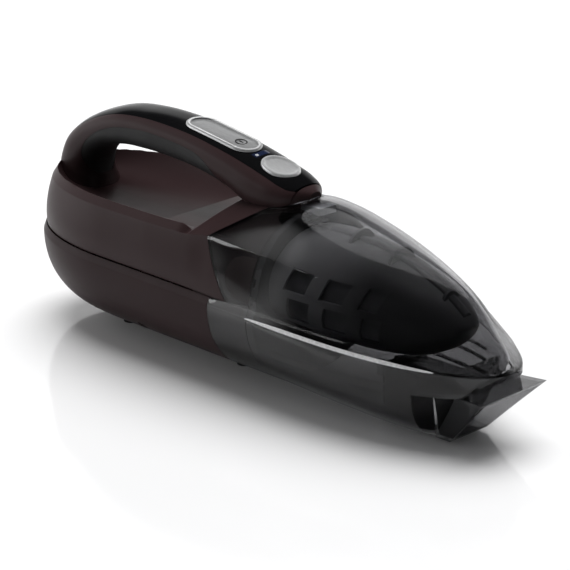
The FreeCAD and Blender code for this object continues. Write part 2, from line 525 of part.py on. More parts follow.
# square notches round the rim of the frame
for sg in (-1, 1):
    for z in (62.0, 72.0, 82.0):
        fr = fr.cut(box(26, 29.2, sg*50-6.0, sg*50+6.0, z-2.4, z+2.4))
node("filter_frame", biggest(fr))
gask = fl_out.common(box(SPIGOT_X+0.1, FX0, -90, 90, -5, 130)).cut(loft([front_wire(x, BOX_WALL+5.0) for x in [24, 27, 31]])).cut(box(20, 40, -10.5, 10.5, 97.0, 130))
node("filter_gasket", gask)
basket = b0.cut(b1)
# windows in the basket, six to a side, left by diagonal ribs
for x0, x1 in ((42, 62), (68, 88), (94, 110)):
    for sg in (-1, 1):
        for (za, zb_) in ((52.0, 66.0), (70.0, 82.0)):
            m = (x0+x1)/2.0
            y0, y1 = (6.0, 60.0) if sg > 0 else (-60.0, -6.0)
            basket = basket.cut(prism_y([(x0, za), (x1-4, za), (x1, zb_), (x0+4, zb_)], y0, y1))
# spine on top with three rounded lugs
spine = loft([arch_wire((x, tab(B_TOP, x)+1.6, x, tab(B_TOP, x)-4.5, 3.2, 0)) for x in (34, 60, 85, 105, 125, 140, 147.5)])
basket = basket.fuse(spine.cut(b1))
for xl, r in ((66.0, 11.0), (97.0, 11.5), (134.0, 6.5)):
    zt = tab(B_TOP, xl)
    disc = cyl(r, 2.0, (xl, 0, zt-r*0.55), (1, 0, 0)).common(box(xl-1, xl+3, -40, 40, zt-6, zt+r))
    basket = basket.fuse(disc.cut(b1))
basket = basket.cut(box(0, 31.25, -90, 90, 0, 130)).cut(lever_slot.common(box(20, 46, -8, 8, 90, 120)))
node("filter_basket", biggest(basket))
cloth = b2.cut(b3).cut(box(0, 31.3, -90, 90, 0, 130))
node("filter_cloth", biggest(cloth))

# ---------------------------------------------------------------- motor and fan
MZ = MOTOR_Z-6.0
motor = cyl(17.8, 46, (-72, 0, MZ), (1, 0, 0)).fuse(cyl(6.5, 4, (-26, 0, MZ), (1, 0, 0))).fuse(cyl(6.5, 3, (-75, 0, MZ), (1, 0, 0)))
motor = motor.cut(cyl(1.65, 80, (-80, 0, MZ), (1, 0, 0)))
for a in range(4):
    s = box(-50, -34, -2.5, 2.5, MZ+14.5, MZ+20)
    s.rotate(V(0, 0, MZ), V(1, 0, 0), 45+90*a)
    motor = motor.cut(s)
node("motor", motor)
node("motor_shaft", cyl(1.6, 76, (-77, 0, MZ), (1, 0, 0)))
imp = cyl(29, 1.4, (-15.5, 0, MZ), (1, 0, 0)).fuse(cyl(5, 12.5, (-15.5, 0, MZ), (1, 0, 0)))
for a in range(9):
    b = box(-14.2, -5.5, 9.0, 28.6, -0.6, 0.6)
    b.rotate(V(0, 9, 0), V(1, 0, 0), -28)
    b.translate(V(0, 0, MZ))
    b.rotate(V(0, 0, MZ), V(1, 0, 0), 40.0*a)
    imp = imp.fuse(b)
imp = imp.fuse(cyl(29, 1.2, (-6.0, 0, MZ), (1, 0, 0)).cut(cyl(15, 5, (-8, 0, MZ), (1, 0, 0))))
imp = imp.cut(cyl(1.6, 40, (-30, 0, MZ), (1, 0, 0)))
node("impeller", biggest(imp))
shroud = cyl(33.5, 27.6, (-19.0, 0, MZ), (1, 0, 0)).cut(cyl(31.5, 24.0, (-17.2, 0, MZ), (1, 0, 0))).cut(cyl(14, 60, (-5, 0, MZ), (1, 0, 0)))
shroud = shroud.cut(cyl(6.7, 30, (-30, 0, MZ), (1, 0, 0)))
for a in range(8):
    s = box(-20, -16, 22, 29, -5, 5)
    s.translate(V(0, 0, MZ)); s.rotate(V(0, 0, MZ), V(1, 0, 0), 45.0*a+22)
    shroud = shroud.cut(s)
node("fan_shroud", biggest(shroud))
mount = cyl(21.4, 8, (-68, 0, MZ), (1, 0, 0)).cut(cyl(17.8, 8, (-68, 0, MZ), (1, 0, 0)))
node("motor_mount_ring", mount)

# ---------------------------------------------------------------- battery and electronics
CR, CL = 9.2, 65.0
CX0 = -150.0
cells = [cyl(CR, CL, (CX0, sy*9.8, z), (1, 0, 0)) for sy in (-1, 1) for z in (24.4, 44.0)]
node("battery_cells", *cells)
hold = None
for x in (-146.0, -93.0):
    b = box(x, x+4, -21.5, 21.5, 14.0, 54.4)
    hold = b if hold is None else hold.fuse(b)
hold = hold.fuse(box(-146, -89, -6, 6, 12.4, 14.2))
for c in cells: hold = hold.cut(c)
node("battery_holder", biggest(hold))
links = [box(CX0-0.4, CX0, -13, 13, 21, 28), box(CX0-0.4, CX0, -13, 13, 41, 47), box(CX0+CL, CX0+CL+0.4, -13, -6, 21, 47), box(CX0+CL, CX0+CL+0.4, 6, 13, 21, 47)]
node("cell_links", *links)
pcb = box(-138, -92, -24, 24, 57.4, 59.0)
for c in (box(-132, -120, -18, -4, 59, 63), box(-116, -108, -6, 8, 59, 62), cyl(4, 9, (-126, 12, 59), (0, 0, 1)), box(-104, -97, -16, 16, 59, 64), box(-112, -104, -18, -12, 59, 61)):
    pcb = pcb.fuse(c)
node("control_board", pcb)

# ---------------------------------------------------------------- fasteners and feet
def screw(base, axis, shank, l, head=2.9, hh=2.0):
    ax = V(*axis)
    s = cyl(head, hh, base, axis).fuse(Part.makeCylinder(shank, l, V(*base)+ax*hh, ax))
    p = V(*base)
    s = s.cut(Part.makeBox(0.8, 3.6, 2.4, p+V(-0.4, -1.8, -1.2))).cut(Part.makeBox(3.6, 0.8, 2.4, p+V(-1.8, -0.4, -1.2))) if abs(ax.z) > 0.5 else \
        s.cut(Part.makeBox(0.8, 2.4, 3.6, p+V(-0.4, -1.2, -1.8))).cut(Part.makeBox(3.6, 2.4, 0.8, p+V(-1.8, -1.2, -0.4)))
    return s
node("case_screws", *[screw((x, 30.0, z), (0, -1, 0), 1.25, 24) for x, z in BOSS_XZ])
node("base_screws", *[screw((x, y, 23.0), (0, 0, 1), 1.25, 44) for x, y in POST_XY])
feet = [cyl(5.0, 14, (x, y, 0), (0, 0, 1)).cut(hull_out) for x in (-118.0, -18.0) for y in (-10.0, 10.0)]
node("rubber_feet", *[min(f.Solids, key=lambda q: q.BoundBox.ZMin) for f in feet])

# ---------------------------------------------------------------- output
for name in sorted(NODES):
    s = NODES[name].copy()
    s.translate(V(DX, 0, 0))
    s.exportStep("parts/%s.step" % name)
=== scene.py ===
# Cordless handheld vacuum: visual model on the fixed CAD frame.  Metres, +X to the nozzle, +Z up.
import math, json
import bpy, bmesh
from mathutils import Vector, Matrix


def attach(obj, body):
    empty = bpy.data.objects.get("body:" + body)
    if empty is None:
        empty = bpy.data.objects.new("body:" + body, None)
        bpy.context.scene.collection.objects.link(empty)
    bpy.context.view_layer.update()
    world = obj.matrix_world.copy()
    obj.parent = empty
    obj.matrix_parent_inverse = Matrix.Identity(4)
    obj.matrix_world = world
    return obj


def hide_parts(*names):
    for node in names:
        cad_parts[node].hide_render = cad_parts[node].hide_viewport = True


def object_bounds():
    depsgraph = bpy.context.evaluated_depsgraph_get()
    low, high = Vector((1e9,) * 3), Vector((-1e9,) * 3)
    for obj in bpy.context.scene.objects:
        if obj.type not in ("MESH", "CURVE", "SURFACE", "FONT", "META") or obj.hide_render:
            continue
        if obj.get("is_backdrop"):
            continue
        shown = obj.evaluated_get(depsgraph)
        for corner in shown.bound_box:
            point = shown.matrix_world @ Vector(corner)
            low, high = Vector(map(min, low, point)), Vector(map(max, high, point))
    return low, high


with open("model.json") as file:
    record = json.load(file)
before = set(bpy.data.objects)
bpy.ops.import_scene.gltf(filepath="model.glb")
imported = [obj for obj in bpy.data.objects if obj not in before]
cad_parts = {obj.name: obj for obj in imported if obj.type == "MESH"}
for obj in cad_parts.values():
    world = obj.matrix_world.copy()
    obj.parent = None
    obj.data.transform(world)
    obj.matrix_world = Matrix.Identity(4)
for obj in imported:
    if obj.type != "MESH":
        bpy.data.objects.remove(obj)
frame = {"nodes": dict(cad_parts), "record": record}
SIZE0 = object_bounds()
scene = bpy.context.scene

# ------------------------------------------------------------------ camera
def aim(obj, target):
    d = Vector(target)-obj.location
    obj.rotation_euler = d.to_track_quat('-Z', 'Y').to_euler()

BACK = Vector((0.6623, -0.6623, 0.3502))
TGT = Vector((-0.0073, 0.0146, 0.0453))
cam_d = bpy.data.cameras.new("camera")
cam = bpy.data.objects.new("camera", cam_d)
scene.collection.objects.link(cam)
cam_d.sensor_width = 36.0
cam_d.lens = 192.1
cam_d.clip_start, cam_d.clip_end = 0.05, 60.0
cam_d.dof.use_dof = False
cam.location = TGT+BACK*1.8
aim(cam, TGT)
scene.camera = cam
scene.view_settings.view_transform = 'Standard'

# ------------------------------------------------------------------ node helpers
class Mat:
    def __init__(self, name):
        self.m = bpy.data.materials.new(name)
        self.m.use_nodes = True
        self.t = self.m.node_tree
        self.t.nodes.clear()
        self.out = self.t.nodes.new("ShaderNodeOutputMaterial")
        self.p = self.t.nodes.new("ShaderNodeBsdfPrincipled")
        self.t.links.new(self.p.outputs[0], self.out.inputs["Surface"])
    def n(self, kind, **kw):
        x = self.t.nodes.new(kind)
        for k, v in kw.items():
            if k.startswith("_"): setattr(x, k[1:], v)
        for k, v in kw.items():
            if not k.startswith("_"): x.inputs[k.replace("0", " ")].default_value = v
        return x
    def l(self, a, b):
        self.t.links.new(a, b)
    def set(self, **kw):
        for k, v in kw.items():
            self.p.inputs[k.replace("_", " ")].default_value = v
    def coords(self, scale=1.0):
        tc = self.n("ShaderNodeTexCoord")
        mp = self.n("ShaderNodeMapping")
        mp.inputs["Scale"].default_value = (scale, scale, scale) if not isinstance(scale, tuple) else scale
        self.l(tc.outputs["Object"], mp.inputs["Vector"])
        return mp.outputs[0]
    def noise(self, vec, scale, detail=3.0, rough=0.55):
        x = self.n("ShaderNodeTexNoise")
        x.inputs["Scale"].default_value = scale
        x.inputs["Detail"].default_value = detail
        x.inputs["Roughness"].default_value = rough
        self.l(vec, x.inputs["Vector"])
        return x.outputs["Fac"]
    def ramp(self, fac, lo, hi, a, b):
        r = self.n("ShaderNodeMapRange")
        r.inputs["From Min"].default_value, r.inputs["From Max"].default_value = lo, hi
        r.inputs["To Min"].default_value, r.inputs["To Max"].default_value = a, b
        self.l(fac, r.inputs["Value"])
        return r.outputs[0]
    def mixc(self, fac, a, b):
        x = self.n("ShaderNodeMix", _data_type='RGBA')
        x.inputs[6].default_value = (*a, 1) if len(a) == 3 else a
        x.inputs[7].default_value = (*b, 1) if len(b) == 3 else b
        self.l(fac, x.inputs[0])
        return x.outputs[2]
    def bump(self, height, strength, dist):
        x = self.n("ShaderNodeBump")
        x.inputs["Strength"].default_value = strength
        x.inputs["Distance"].default_value = dist
        self.l(height, x.inputs["Height"])
        self.l(x.outputs[0], self.p.inputs["Normal"])
        return x

def plastic(name, dark, light, rough, rvar=0.05, grain=2200.0, bump=0.12, coat=0.0, spec=0.5, big=14.0, dist=0.00012):
    """Moulded plastic: slight tone drift, fine spark-eroded grain, roughness that varies a little."""
    k = Mat(name)
    v = k.coords()
    drift = k.noise(v, big, 2.0)
    fine = k.noise(v, grain, 2.0, 0.6)
    k.l(k.mixc(k.ramp(drift, 0.3, 0.7, 0, 1), dark, light), k.p.inputs["Base Color"])
    wear = k.noise(v, 60.0, 4.0)
    k.l(k.ramp(wear, 0.25, 0.75, rough-rvar, rough+rvar), k.p.inputs["Roughness"])
    if bump: k.bump(fine, bump, dist)
    k.set(IOR=1.5, Specular_IOR_Level=spec)
    if coat:
        k.set(Coat_Weight=coat, Coat_Roughness=0.05)
    return k.m

def metal(name, a, b, rough, scale=(1, 1, 1), metallic=1.0, bump=0.05):
    k = Mat(name)
    v = k.coords(scale)
    f = k.noise(v, 900.0, 2.0)
    k.l(k.mixc(k.ramp(f, 0.3, 0.7, 0, 1), a, b), k.p.inputs["Base Color"])
    k.l(k.ramp(f, 0.2, 0.8, rough-0.05, rough+0.06), k.p.inputs["Roughness"])
    k.bump(f, bump, 0.00005)
    k.set(Metallic=metallic)
    return k.m

def smoke(name, tint, low, rough=0.02, ior=1.36):
    """Clear smoke-tinted plastic, painted darker low down in the tray as painted shade; lamps reach what lies behind
    it.
    """
    k = Mat(name)
    v = k.coords()
    k.set(Roughness=rough, IOR=ior, Transmission_Weight=1.0)
    sz = k.n("ShaderNodeSeparateXYZ")
    k.l(v, sz.inputs[0])
    # painted shade: below about 4 to 6 cm the colour, and the colour shadow rays pass, go to the darker low tint
    f = k.ramp(sz.outputs["Z"], 0.038, 0.056, 0.0, 1.0)
    col = k.mixc(f, low, tint)
    k.l(col, k.p.inputs["Base Color"])
    wav = k.noise(v, 22.0, 1.0)
    k.bump(wav, 0.02, 0.0006)
    lp = k.n("ShaderNodeLightPath")
    tr = k.n("ShaderNodeBsdfTransparent")
    k.l(k.mixc(f, tuple(c**0.6 for c in low), tuple(c**0.6 for c in tint)), tr.inputs["Color"])
    # walls seen on edge look dark: the light comes a long way through the plastic
    lw = k.n("ShaderNodeLayerWeight")
    lw.inputs["Blend"].default_value = 0.5
    edge = k.ramp(lw.outputs["Facing"], 0.62, 0.97, 0.0, 0.72)
    mm = k.n("ShaderNodeMath")
    mm.operation = 'MAXIMUM'
    k.l(lp.outputs["Is Shadow Ray"], mm.inputs[0])
    k.l(edge, mm.inputs[1])
    mx = k.n("ShaderNodeMixShader")
    k.l(mm.outputs[0], mx.inputs[0])
    k.l(k.p.outputs[0], mx.inputs[1])
    k.l(tr.outputs[0], mx.inputs[2])
    k.l(mx.outputs[0], k.out.inputs["Surface"])
    return k.m

M = {}
M["casing_brown"] = plastic("m_casing_brown", (0.031, 0.0178, 0.0187), (0.0365, 0.0214, 0.0224), 0.38, 0.03, spec=0.10)
# the lower casing is the upper casing's brown painted darker: painted shade of the lower body
M["lower_brown"] = plastic("m_lower_brown_painted_shade", (0.027, 0.0155, 0.0165), (0.032, 0.0188, 0.0197), 0.38, 0.03, spec=0.07)
M["trim_black"] = plastic("m_trim_black", (0.004, 0.004, 0.0045), (0.006, 0.006, 0.0065), 0.16, 0.02, bump=0.0, spec=0.03)
M["grip_black"] = plastic("m_grip_black", (0.010, 0.010, 0.0105), (0.014, 0.014, 0.0145), 0.62, 0.06, grain=1600.0, bump=0.3, spec=0.35)
M["silver"] = metal("m_silver", (0.50, 0.505, 0.51), (0.58, 0.585, 0.59), 0.36, (0.15, 1, 1), 0.7)
M["rim_bright"] = metal("m_rim_bright", (0.78, 0.785, 0.79), (0.84, 0.845, 0.85), 0.30, (0.15, 1, 1), 0.35)
M["mark_dark"] = plastic("m_mark_dark", (0.012, 0.012, 0.013), (0.016, 0.016, 0.017), 0.5, 0.04, bump=0.0)
M["mark_white"] = plastic("m_mark_white", (0.62, 0.63, 0.64), (0.68, 0.69, 0.70), 0.5, 0.04, bump=0.0)
def flange():
    """Raised joint of the two container mouldings, coloured pale frosted grey as a painted highlight along the ledge.
    """
    k = Mat("m_flange")
    v = k.coords((1, 1, 1))
    f = k.noise(v, 500.0, 2.0)
    # painted highlight: pale grey colour
    k.l(k.mixc(k.ramp(f, 0.3, 0.7, 0, 1), (0.62, 0.62, 0.625), (0.74, 0.74, 0.745)), k.p.inputs["Base Color"])
    k.l(k.ramp(f, 0.2, 0.8, 0.22, 0.32), k.p.inputs["Roughness"])
    k.set(IOR=1.5)
    k.bump(f, 0.05, 0.00004)
    return k.m
M["flange"] = flange()
# a paler copy of the silver for the release button: its extra brightness is a painted highlight
M["silver_light"] = metal("m_silver_light", (0.60, 0.605, 0.61), (0.68, 0.685, 0.69), 0.40, (0.15, 1, 1), 0.55)
# the second, darker tint is painted shade for the low tray
M["smoke_clear"] = smoke("m_smoke_clear", (0.40, 0.40, 0.41), (0.20, 0.20, 0.205))
M["filter_dark"] = plastic("m_filter_dark", (0.034, 0.034, 0.035), (0.042, 0.042, 0.043), 0.42, 0.04, bump=0.0, spec=0.22)
def basket_painted_reflection():
    """Dark moulded basket, painted paler and duller towards its rear frame: a painted reflection of the softbox on the
    camera's left.
    """
    k = Mat("m_basket_painted_reflection")
    v = k.coords((1, 1, 1))
    sz = k.n("ShaderNodeSeparateXYZ")
    k.l(v, sz.inputs[0])
    f = k.noise(v, 40.0, 2.0)
    # painted reflection: the rear of the basket is painted pale grey, fading to dark by x = 100 mm
    a = k.ramp(sz.outputs["X"], 0.040, 0.100, 1.0, 0.0)
    k.l(k.mixc(a, (0.038, 0.038, 0.039), (0.27, 0.27, 0.272)), k.p.inputs["Base Color"])
    k.l(k.ramp(f, 0.2, 0.8, 0.36, 0.46), k.p.inputs["Roughness"])
    k.set(IOR=1.5, Specular_IOR_Level=0.25)
    return k.m
M["basket"] = basket_painted_reflection()
def fleece():
    k = Mat("m_filter_cloth")
    v = k.coords()
    f = k.noise(v, 1500.0, 4.0, 0.7)
    g = k.noise(v, 90.0, 2.0)
    k.l(k.mixc(k.ramp(g, 0.3, 0.7, 0, 1), (0.045, 0.045, 0.047), (0.075, 0.075, 0.078)), k.p.inputs["Base Color"])
    k.set(Roughness=0.95, Sheen_Weight=0.4, Specular_IOR_Level=0.2)
    k.bump(f, 0.5, 0.0004)
    return k.m
M["filter_cloth"] = fleece()
M["rubber_black"] = plastic("m_rubber_black", (0.010, 0.010, 0.011), (0.017, 0.017, 0.018), 0.72, 0.06, grain=700.0, bump=0.0, spec=0.3)
M["collar_brown"] = plastic("m_collar_brown", (0.020, 0.0135, 0.0135), (0.026, 0.0175, 0.0175), 0.45, 0.04, bump=0.0, spec=0.12)
M["plastic_black"] = plastic("m_plastic_black", (0.012, 0.012, 0.013), (0.018, 0.018, 0.019), 0.48, 0.05, bump=0.0)
M["latch_grey"] = plastic("m_latch_grey", (0.42, 0.43, 0.44), (0.50, 0.51, 0.52), 0.38, 0.04, bump=0.0)
M["lens_blue"] = plastic("m_lens_blue", (0.010, 0.016, 0.045), (0.016, 0.024, 0.06), 0.08, 0.02, bump=0.0, coat=0.5)
M["steel"] = metal("m_steel", (0.52, 0.52, 0.54), (0.64, 0.64, 0.66), 0.26)
M["motor_steel"] = metal("m_motor_steel", (0.46, 0.46, 0.48), (0.58, 0.58, 0.60), 0.34, (0.1, 1, 1))
M["impeller_white"] = plastic("m_impeller_white", (0.70, 0.70, 0.68), (0.78, 0.78, 0.76), 0.42, 0.04)
M["shroud_grey"] = plastic("m_shroud_grey", (0.035, 0.035, 0.037), (0.045, 0.045, 0.047), 0.5, 0.05, bump=0.0)
M["cell_wrap"] = plastic("m_cell_wrap", (0.02, 0.13, 0.065), (0.03, 0.16, 0.08), 0.28, 0.04, bump=0.04)
M["nickel"] = metal("m_nickel", (0.60, 0.59, 0.56), (0.70, 0.69, 0.66), 0.3)
M["pcb_green"] = plastic("m_pcb_green", (0.008, 0.06, 0.025), (0.012, 0.08, 0.035), 0.35, 0.05, grain=500.0)

slot_of = {s["node"]: s["material_slot"] for s in frame["record"]["subparts"]}
for name in frame["nodes"]:
    ob = bpy.data.objects.get(name)
    if ob is None: continue
    m = M[slot_of[name]]
    if not ob.material_slots: ob.data.materials.append(m)
    for s in ob.material_slots: s.material = m

# ------------------------------------------------------------------ form of the machine (mm, before the 2 mm shift in X)
DX = 2.0
def tab(table, x):
    n = len(table)
    if x <= table[0][0]: return table[0][1]
    if x >= table[-1][0]: return table[-1][1]
    h = [table[i+1][0]-table[i][0] for i in range(n-1)]
    d = [(table[i+1][1]-table[i][1])/h[i] for i in range(n-1)]
    m = [d[0]]
    for i in range(1, n-1):
        if d[i-1]*d[i] <= 0: m.append(0.0)
        else:
            w1, w2 = 2*h[i]+h[i-1], h[i]+2*h[i-1]
            m.append((w1+w2)/(w1/d[i-1]+w2/d[i]))
    m.append(d[-1])
    for i in range(n-1):
        if x <= table[i+1][0]:
            t = (x-table[i][0])/h[i]
            return ((1+2*t)*(1-t)**2*table[i][1]+t*(1-t)**2*h[i]*m[i]
                    + t*t*(3-2*t)*table[i+1][1]+t*t*(t-1)*h[i]*m[i+1])

def step(a, b, x):
    t = min(1.0, max(0.0, (x-a)/(b-a)))
    return t*t*(3-2*t)
def sup(t, n): return max(0.0, 1.0-min(1.0, abs(t))**n)**(1.0/n)

REAR, NOSE, HALF_W = -187.0, 181.0, 54.5
def w_ledge(x):
    if x < -100: return HALF_W*sup((-100-x)/(-100-REAR), 2.15)
    if x > 30: return HALF_W*sup((x-30)/(NOSE-30), 2.05)
    return HALF_W
def z_ledge(x): return tab([(-187, 53.0), (40, 52.5), (110, 50.5), (181, 47.5)], x)
def depth(x):
    if x < -110: return 50.0*sup((-110-x)/(-110-REAR), 2.7)
    return tab([(-10, 50.0), (60, 49.5), (140, 46.8), (160, 44.0), (181, 20.0)], x)
def squareness(x): return tab([(40, 2.12), (90, 2.4), (140, 2.9), (181, 2.9)], x)
def w_sh(x):
    if x < -95: return 49.5*sup((-95-x)/85.0, 2.2)
    return tab([(-60, 49.5), (-26, 48.0), (-9, 45.5), (13, 44.0), (58, 41.0), (80, 38.3), (97, 34.5), (109, 30.8), (120, 26.5), (133, 20.0), (145, 14.5), (155, 10.5), (165, 7.0), (175, 4.2), (181, 1.5)], x)
def z_sh(x): return tab([(-187, 87.0), (-60, 88.0), (-26, 89.0), (-9, 91.0), (13, 89.5), (58, 86.5), (97, 80.5), (109, 78.2), (133, 75.5), (150, 74.5), (156, 72.5), (165, 65.0), (175, 56.0), (181, 50.6)], x)
def z_top(x): return tab([(-60, 102.0), (-27, 105.5), (0, 108.5), (20, 112.0), (35, 114.0), (45, 113.5), (70, 109.0), (93, 103.8), (117, 98.0), (140, 90.5), (150, 84.5), (157, 77.5), (165, 68.6), (175, 57.8), (181, 52.0)], x)
def z_valley(x): return tab([(-187, 84.0), (-160, 79.0), (-110, 77.0), (-60, 79.0), (-27, 84.0)], x)

def soften(pts, corners, r, n=4):
    """Round the named corners of an open line of (y, z) points."""
    out = []
    for i, p in enumerate(pts):
        if i not in corners:
            out.append(p); continue
        a, b = pts[i-1], pts[i+1]
        la = math.hypot(a[0]-p[0], a[1]-p[1]); lb = math.hypot(b[0]-p[0], b[1]-p[1])
        ra, rb = min(r, 0.45*la), min(r, 0.45*lb)
        A = (p[0]+(a[0]-p[0])*ra/max(la, 1e-9), p[1]+(a[1]-p[1])*ra/max(la, 1e-9))
        B = (p[0]+(b[0]-p[0])*rb/max(lb, 1e-9), p[1]+(b[1]-p[1])*rb/max(lb, 1e-9))
        for k in range(n+1):
            t = k/n
            out.append(((1-t)**2*A[0]+2*t*(1-t)*p[0]+t*t*B[0], (1-t)**2*A[1]+2*t*(1-t)*p[1]+t*t*B[1]))
    return out

def mirror_ring(half):
    """Closed ring from a half line that starts and ends on Y = 0."""
    h = list(half)
    return h+[(-y, z) for y, z in reversed(h[1:-1])]

def hull_half(x, off, n=30):
    a, b, z0 = max(w_ledge(x)-off, 0.4), max(depth(x)-off, 0.4), z_ledge(x)
    k = 2.0/squareness(x)
    out = []
    for i in range(n):
        t = math.pi/2*(1-i/(n-1))
        out.append((a*abs(math.cos(t))**k if i else 0.0, z0-b*abs(math.sin(t))**k))
    out[-1] = (a, z0)
    return out

def wall(wa, za, wb, zb, bulge, n=12):
    return [(wa+(wb-wa)*i/n+4*(i/n)*(1-i/n)*bulge, za+(zb-za)*i/n) for i in range(1, n+1)]

def crown(ws, zs, zt, n=26):
    out = []
    for i in range(1, n+1):
        u = max(0.0, math.cos(math.pi/2*i/n))
        out.append((ws*u if i < n else 0.0, zs+(zt-zs)*(1-u**1.9)))
    return out

def ring_front(x, off=0.0, r=0.9):
    a = max(w_ledge(x)-off, 0.5)
    e = min(2.4, 0.45*a)
    ch = 4.6*min(1.0, max(0.12, (NOSE-x)/25.0))
    ws = max(w_sh(x)-off, 0.3)
    zl = z_ledge(x); zb = zl+ch
    zs = max(z_sh(x)-0.3*off, zb+0.5)
    zt = max(z_top(x)-off, zs+0.4)
    bul = (2.6-1.9*step(-8.0, 42.0, x))*min(1.0, ws/30.0)*min(1.0, (zs-zb)/25.0)
    h = hull_half(x, off); h[-1] = (a, zl)
    k1 = len(h)-1
    h.append((a-e, zb)); k2 = len(h)-1
    h += wall(a-e, zb, ws, zs, bul); k3 = len(h)-1
    h += crown(ws, zs, zt)
    return mirror_ring(soften(h, {k1, k2, k3}, r))

def ring_lower(x, off=0.0, top=4.6, edge=2.4, r=0.8):
    a = max(w_ledge(x)-off, 0.4)
    e = min(edge, 0.45*a)
    h = hull_half(x, off); k1 = len(h)-1
    zt = z_ledge(x)+top
    h.append((a-e, zt)); k2 = len(h)-1
    for i in range(1, 9): h.append(((a-e)*(1-i/8), zt))
    return mirror_ring(soften(h, {k1, k2}, r))

def ring_rear(x, off=0.0, base=57.1, r=0.9):
    wa = max(w_ledge(x)-3.0-off, 0.5)
    ws = max(w_sh(x)-off, 0.5)
    zs = z_sh(x)-0.3*off
    band = min(4.4, 0.35*ws)
    wi, zi = max(ws-band, 0.3), zs+4.4-0.4*off
    zv = z_valley(x)-off
    bul = 2.6*min(1.0, ws/30.0)
    h = [(wa*i/8, base) for i in range(9)]
    k0 = len(h)-1
    h += wall(wa, base, ws, zs, bul, 16); k1 = len(h)-1
    h.append(((ws+wi)/2, (zs+zi)/2))
    h.append((wi, zi)); k2 = len(h)-1
    for i in range(1, 29):
        u = 1-i/28
        h.append((wi*u, zv+(zi-zv)*u**3.2))
    return mirror_ring(soften(h, {k0, k1, k2}, r))

def ring_hood(x, off=0.0, base=57.1, r=0.9):
    wa = w_ledge(x)-(3.0-0.6*min(1.0, max(0.0, (x+30)/25.0)))-off
    ws = w_sh(x)-off
    zs, zt = z_sh(x)-0.3*off, z_top(x)-off
    h = [(wa*i/8, base) for i in range(9)]
    k0 = len(h)-1
    h += wall(wa, base, ws, zs, 2.6, 16); k1 = len(h)-1
    h += crown(ws, zs, zt)
    return mirror_ring(soften(h, {k0, k1}, r))

# ------------------------------------------------------------------ handle
ARCH = [
    (-181.5,  84.0, -144.0,  71.0, 19.0, 0.00),
    (-181.0,  95.0, -150.5,  86.0, 16.0, 0.02),
    (-174.0, 107.5, -150.5,  95.5, 16.5, 0.24),
    (-162.0, 118.3, -145.5, 102.5, 17.0, 0.36),
    (-148.0, 126.6, -136.0, 108.0, 17.5, 0.47),
    (-130.0, 133.6, -122.5, 111.3, 17.9, 0.56),
    (-105.0, 137.4, -100.0, 112.8, 18.0, 0.62),
    ( -75.0, 137.7,  -76.0, 112.6, 18.3, 0.62),
    ( -48.0, 135.5,  -52.0, 110.8, 18.8, 0.60),
    ( -22.0, 131.0,  -30.0, 106.5, 19.5, 0.56),
    (   0.0, 126.0,   -8.0,  99.0, 20.0, 0.50),
    (  14.0, 122.2,    9.0, 100.0, 18.0, 0.40),
    (  24.0, 119.0,   21.0, 102.0, 12.8, 0.30),
    (  30.5, 116.6,   28.5, 104.0,  5.0, 0.20),
]
def cubic(ts, vs, t):
    """Natural-looking cubic through (ts, vs) with Catmull-Rom slopes."""
    n = len(ts)
    i = 0
    while i < n-2 and t > ts[i+1]: i += 1
    h = ts[i+1]-ts[i]
    def sl(j):
        if j == 0: return (vs[1]-vs[0])/(ts[1]-ts[0])
        if j == n-1: return (vs[-1]-vs[-2])/(ts[-1]-ts[-2])
        d0 = (vs[j]-vs[j-1])/(ts[j]-ts[j-1]); d1 = (vs[j+1]-vs[j])/(ts[j+1]-ts[j])
        h0, h1 = ts[j]-ts[j-1], ts[j+1]-ts[j]
        return (d0*h1+d1*h0)/(h0+h1)
    u = (t-ts[i])/h
    return ((1+2*u)*(1-u)**2*vs[i]+u*(1-u)**2*h*sl(i)+u*u*(3-2*u)*vs[i+1]+u*u*(u-1)*h*sl(i+1))
_T = [0.0]
for _i in range(1, len(ARCH)):
    a, b = ARCH[_i-1], ARCH[_i]
    _T.append(_T[-1]+math.hypot((a[0]+a[2]-b[0]-b[2])/2, (a[1]+a[3]-b[1]-b[3])/2))
def arch_at(t):
    return tuple(cubic(_T, [o[k] for o in ARCH], t) for k in range(6))
def arch_list(n, t0=0.0, t1=None):
    t1 = _T[-1] if t1 is None else t1
    return [arch_at(t0+(t1-t0)*i/(n-1)) for i in range(n)]
def arch_ring(o, n=26, e_top=2.5, e_bot=2.2, inset=0.0):
    ox, oz, ix, iz, w = o[:5]
    L = math.hypot(ox-ix, oz-iz); ax, az = (ox-ix)/L, (oz-iz)/L
    w -= inset; hh = L/2-inset
    pts = []
    for sg, e in ((1, e_top), (-1, e_bot)):
        for i in range(n):
            t = math.pi*i/n
            c, s = math.cos(t), math.sin(t)
            y = w*math.copysign(abs(c)**(2/e), c)*sg
            a = L/2+sg*hh*abs(s)**(2/e)
            pts.append((ix+ax*a, y, iz+az*a))
    return pts
def arch_box(o, y, a0, a1, m=6):
    ox, oz, ix, iz = o[:4]
    L = math.hypot(ox-ix, oz-iz); ax, az = (ox-ix)/L, (oz-iz)/L
    p = (ix+ax*a0, iz+az*a0); q = (ix+ax*a1, iz+az*a1)
    return [(p[0], -y, p[1]), (p[0], y, p[1]), (q[0], y, q[1]), (q[0], -y, q[1])]
def arch_h(o): return math.hypot(o[0]-o[2], o[1]-o[3])

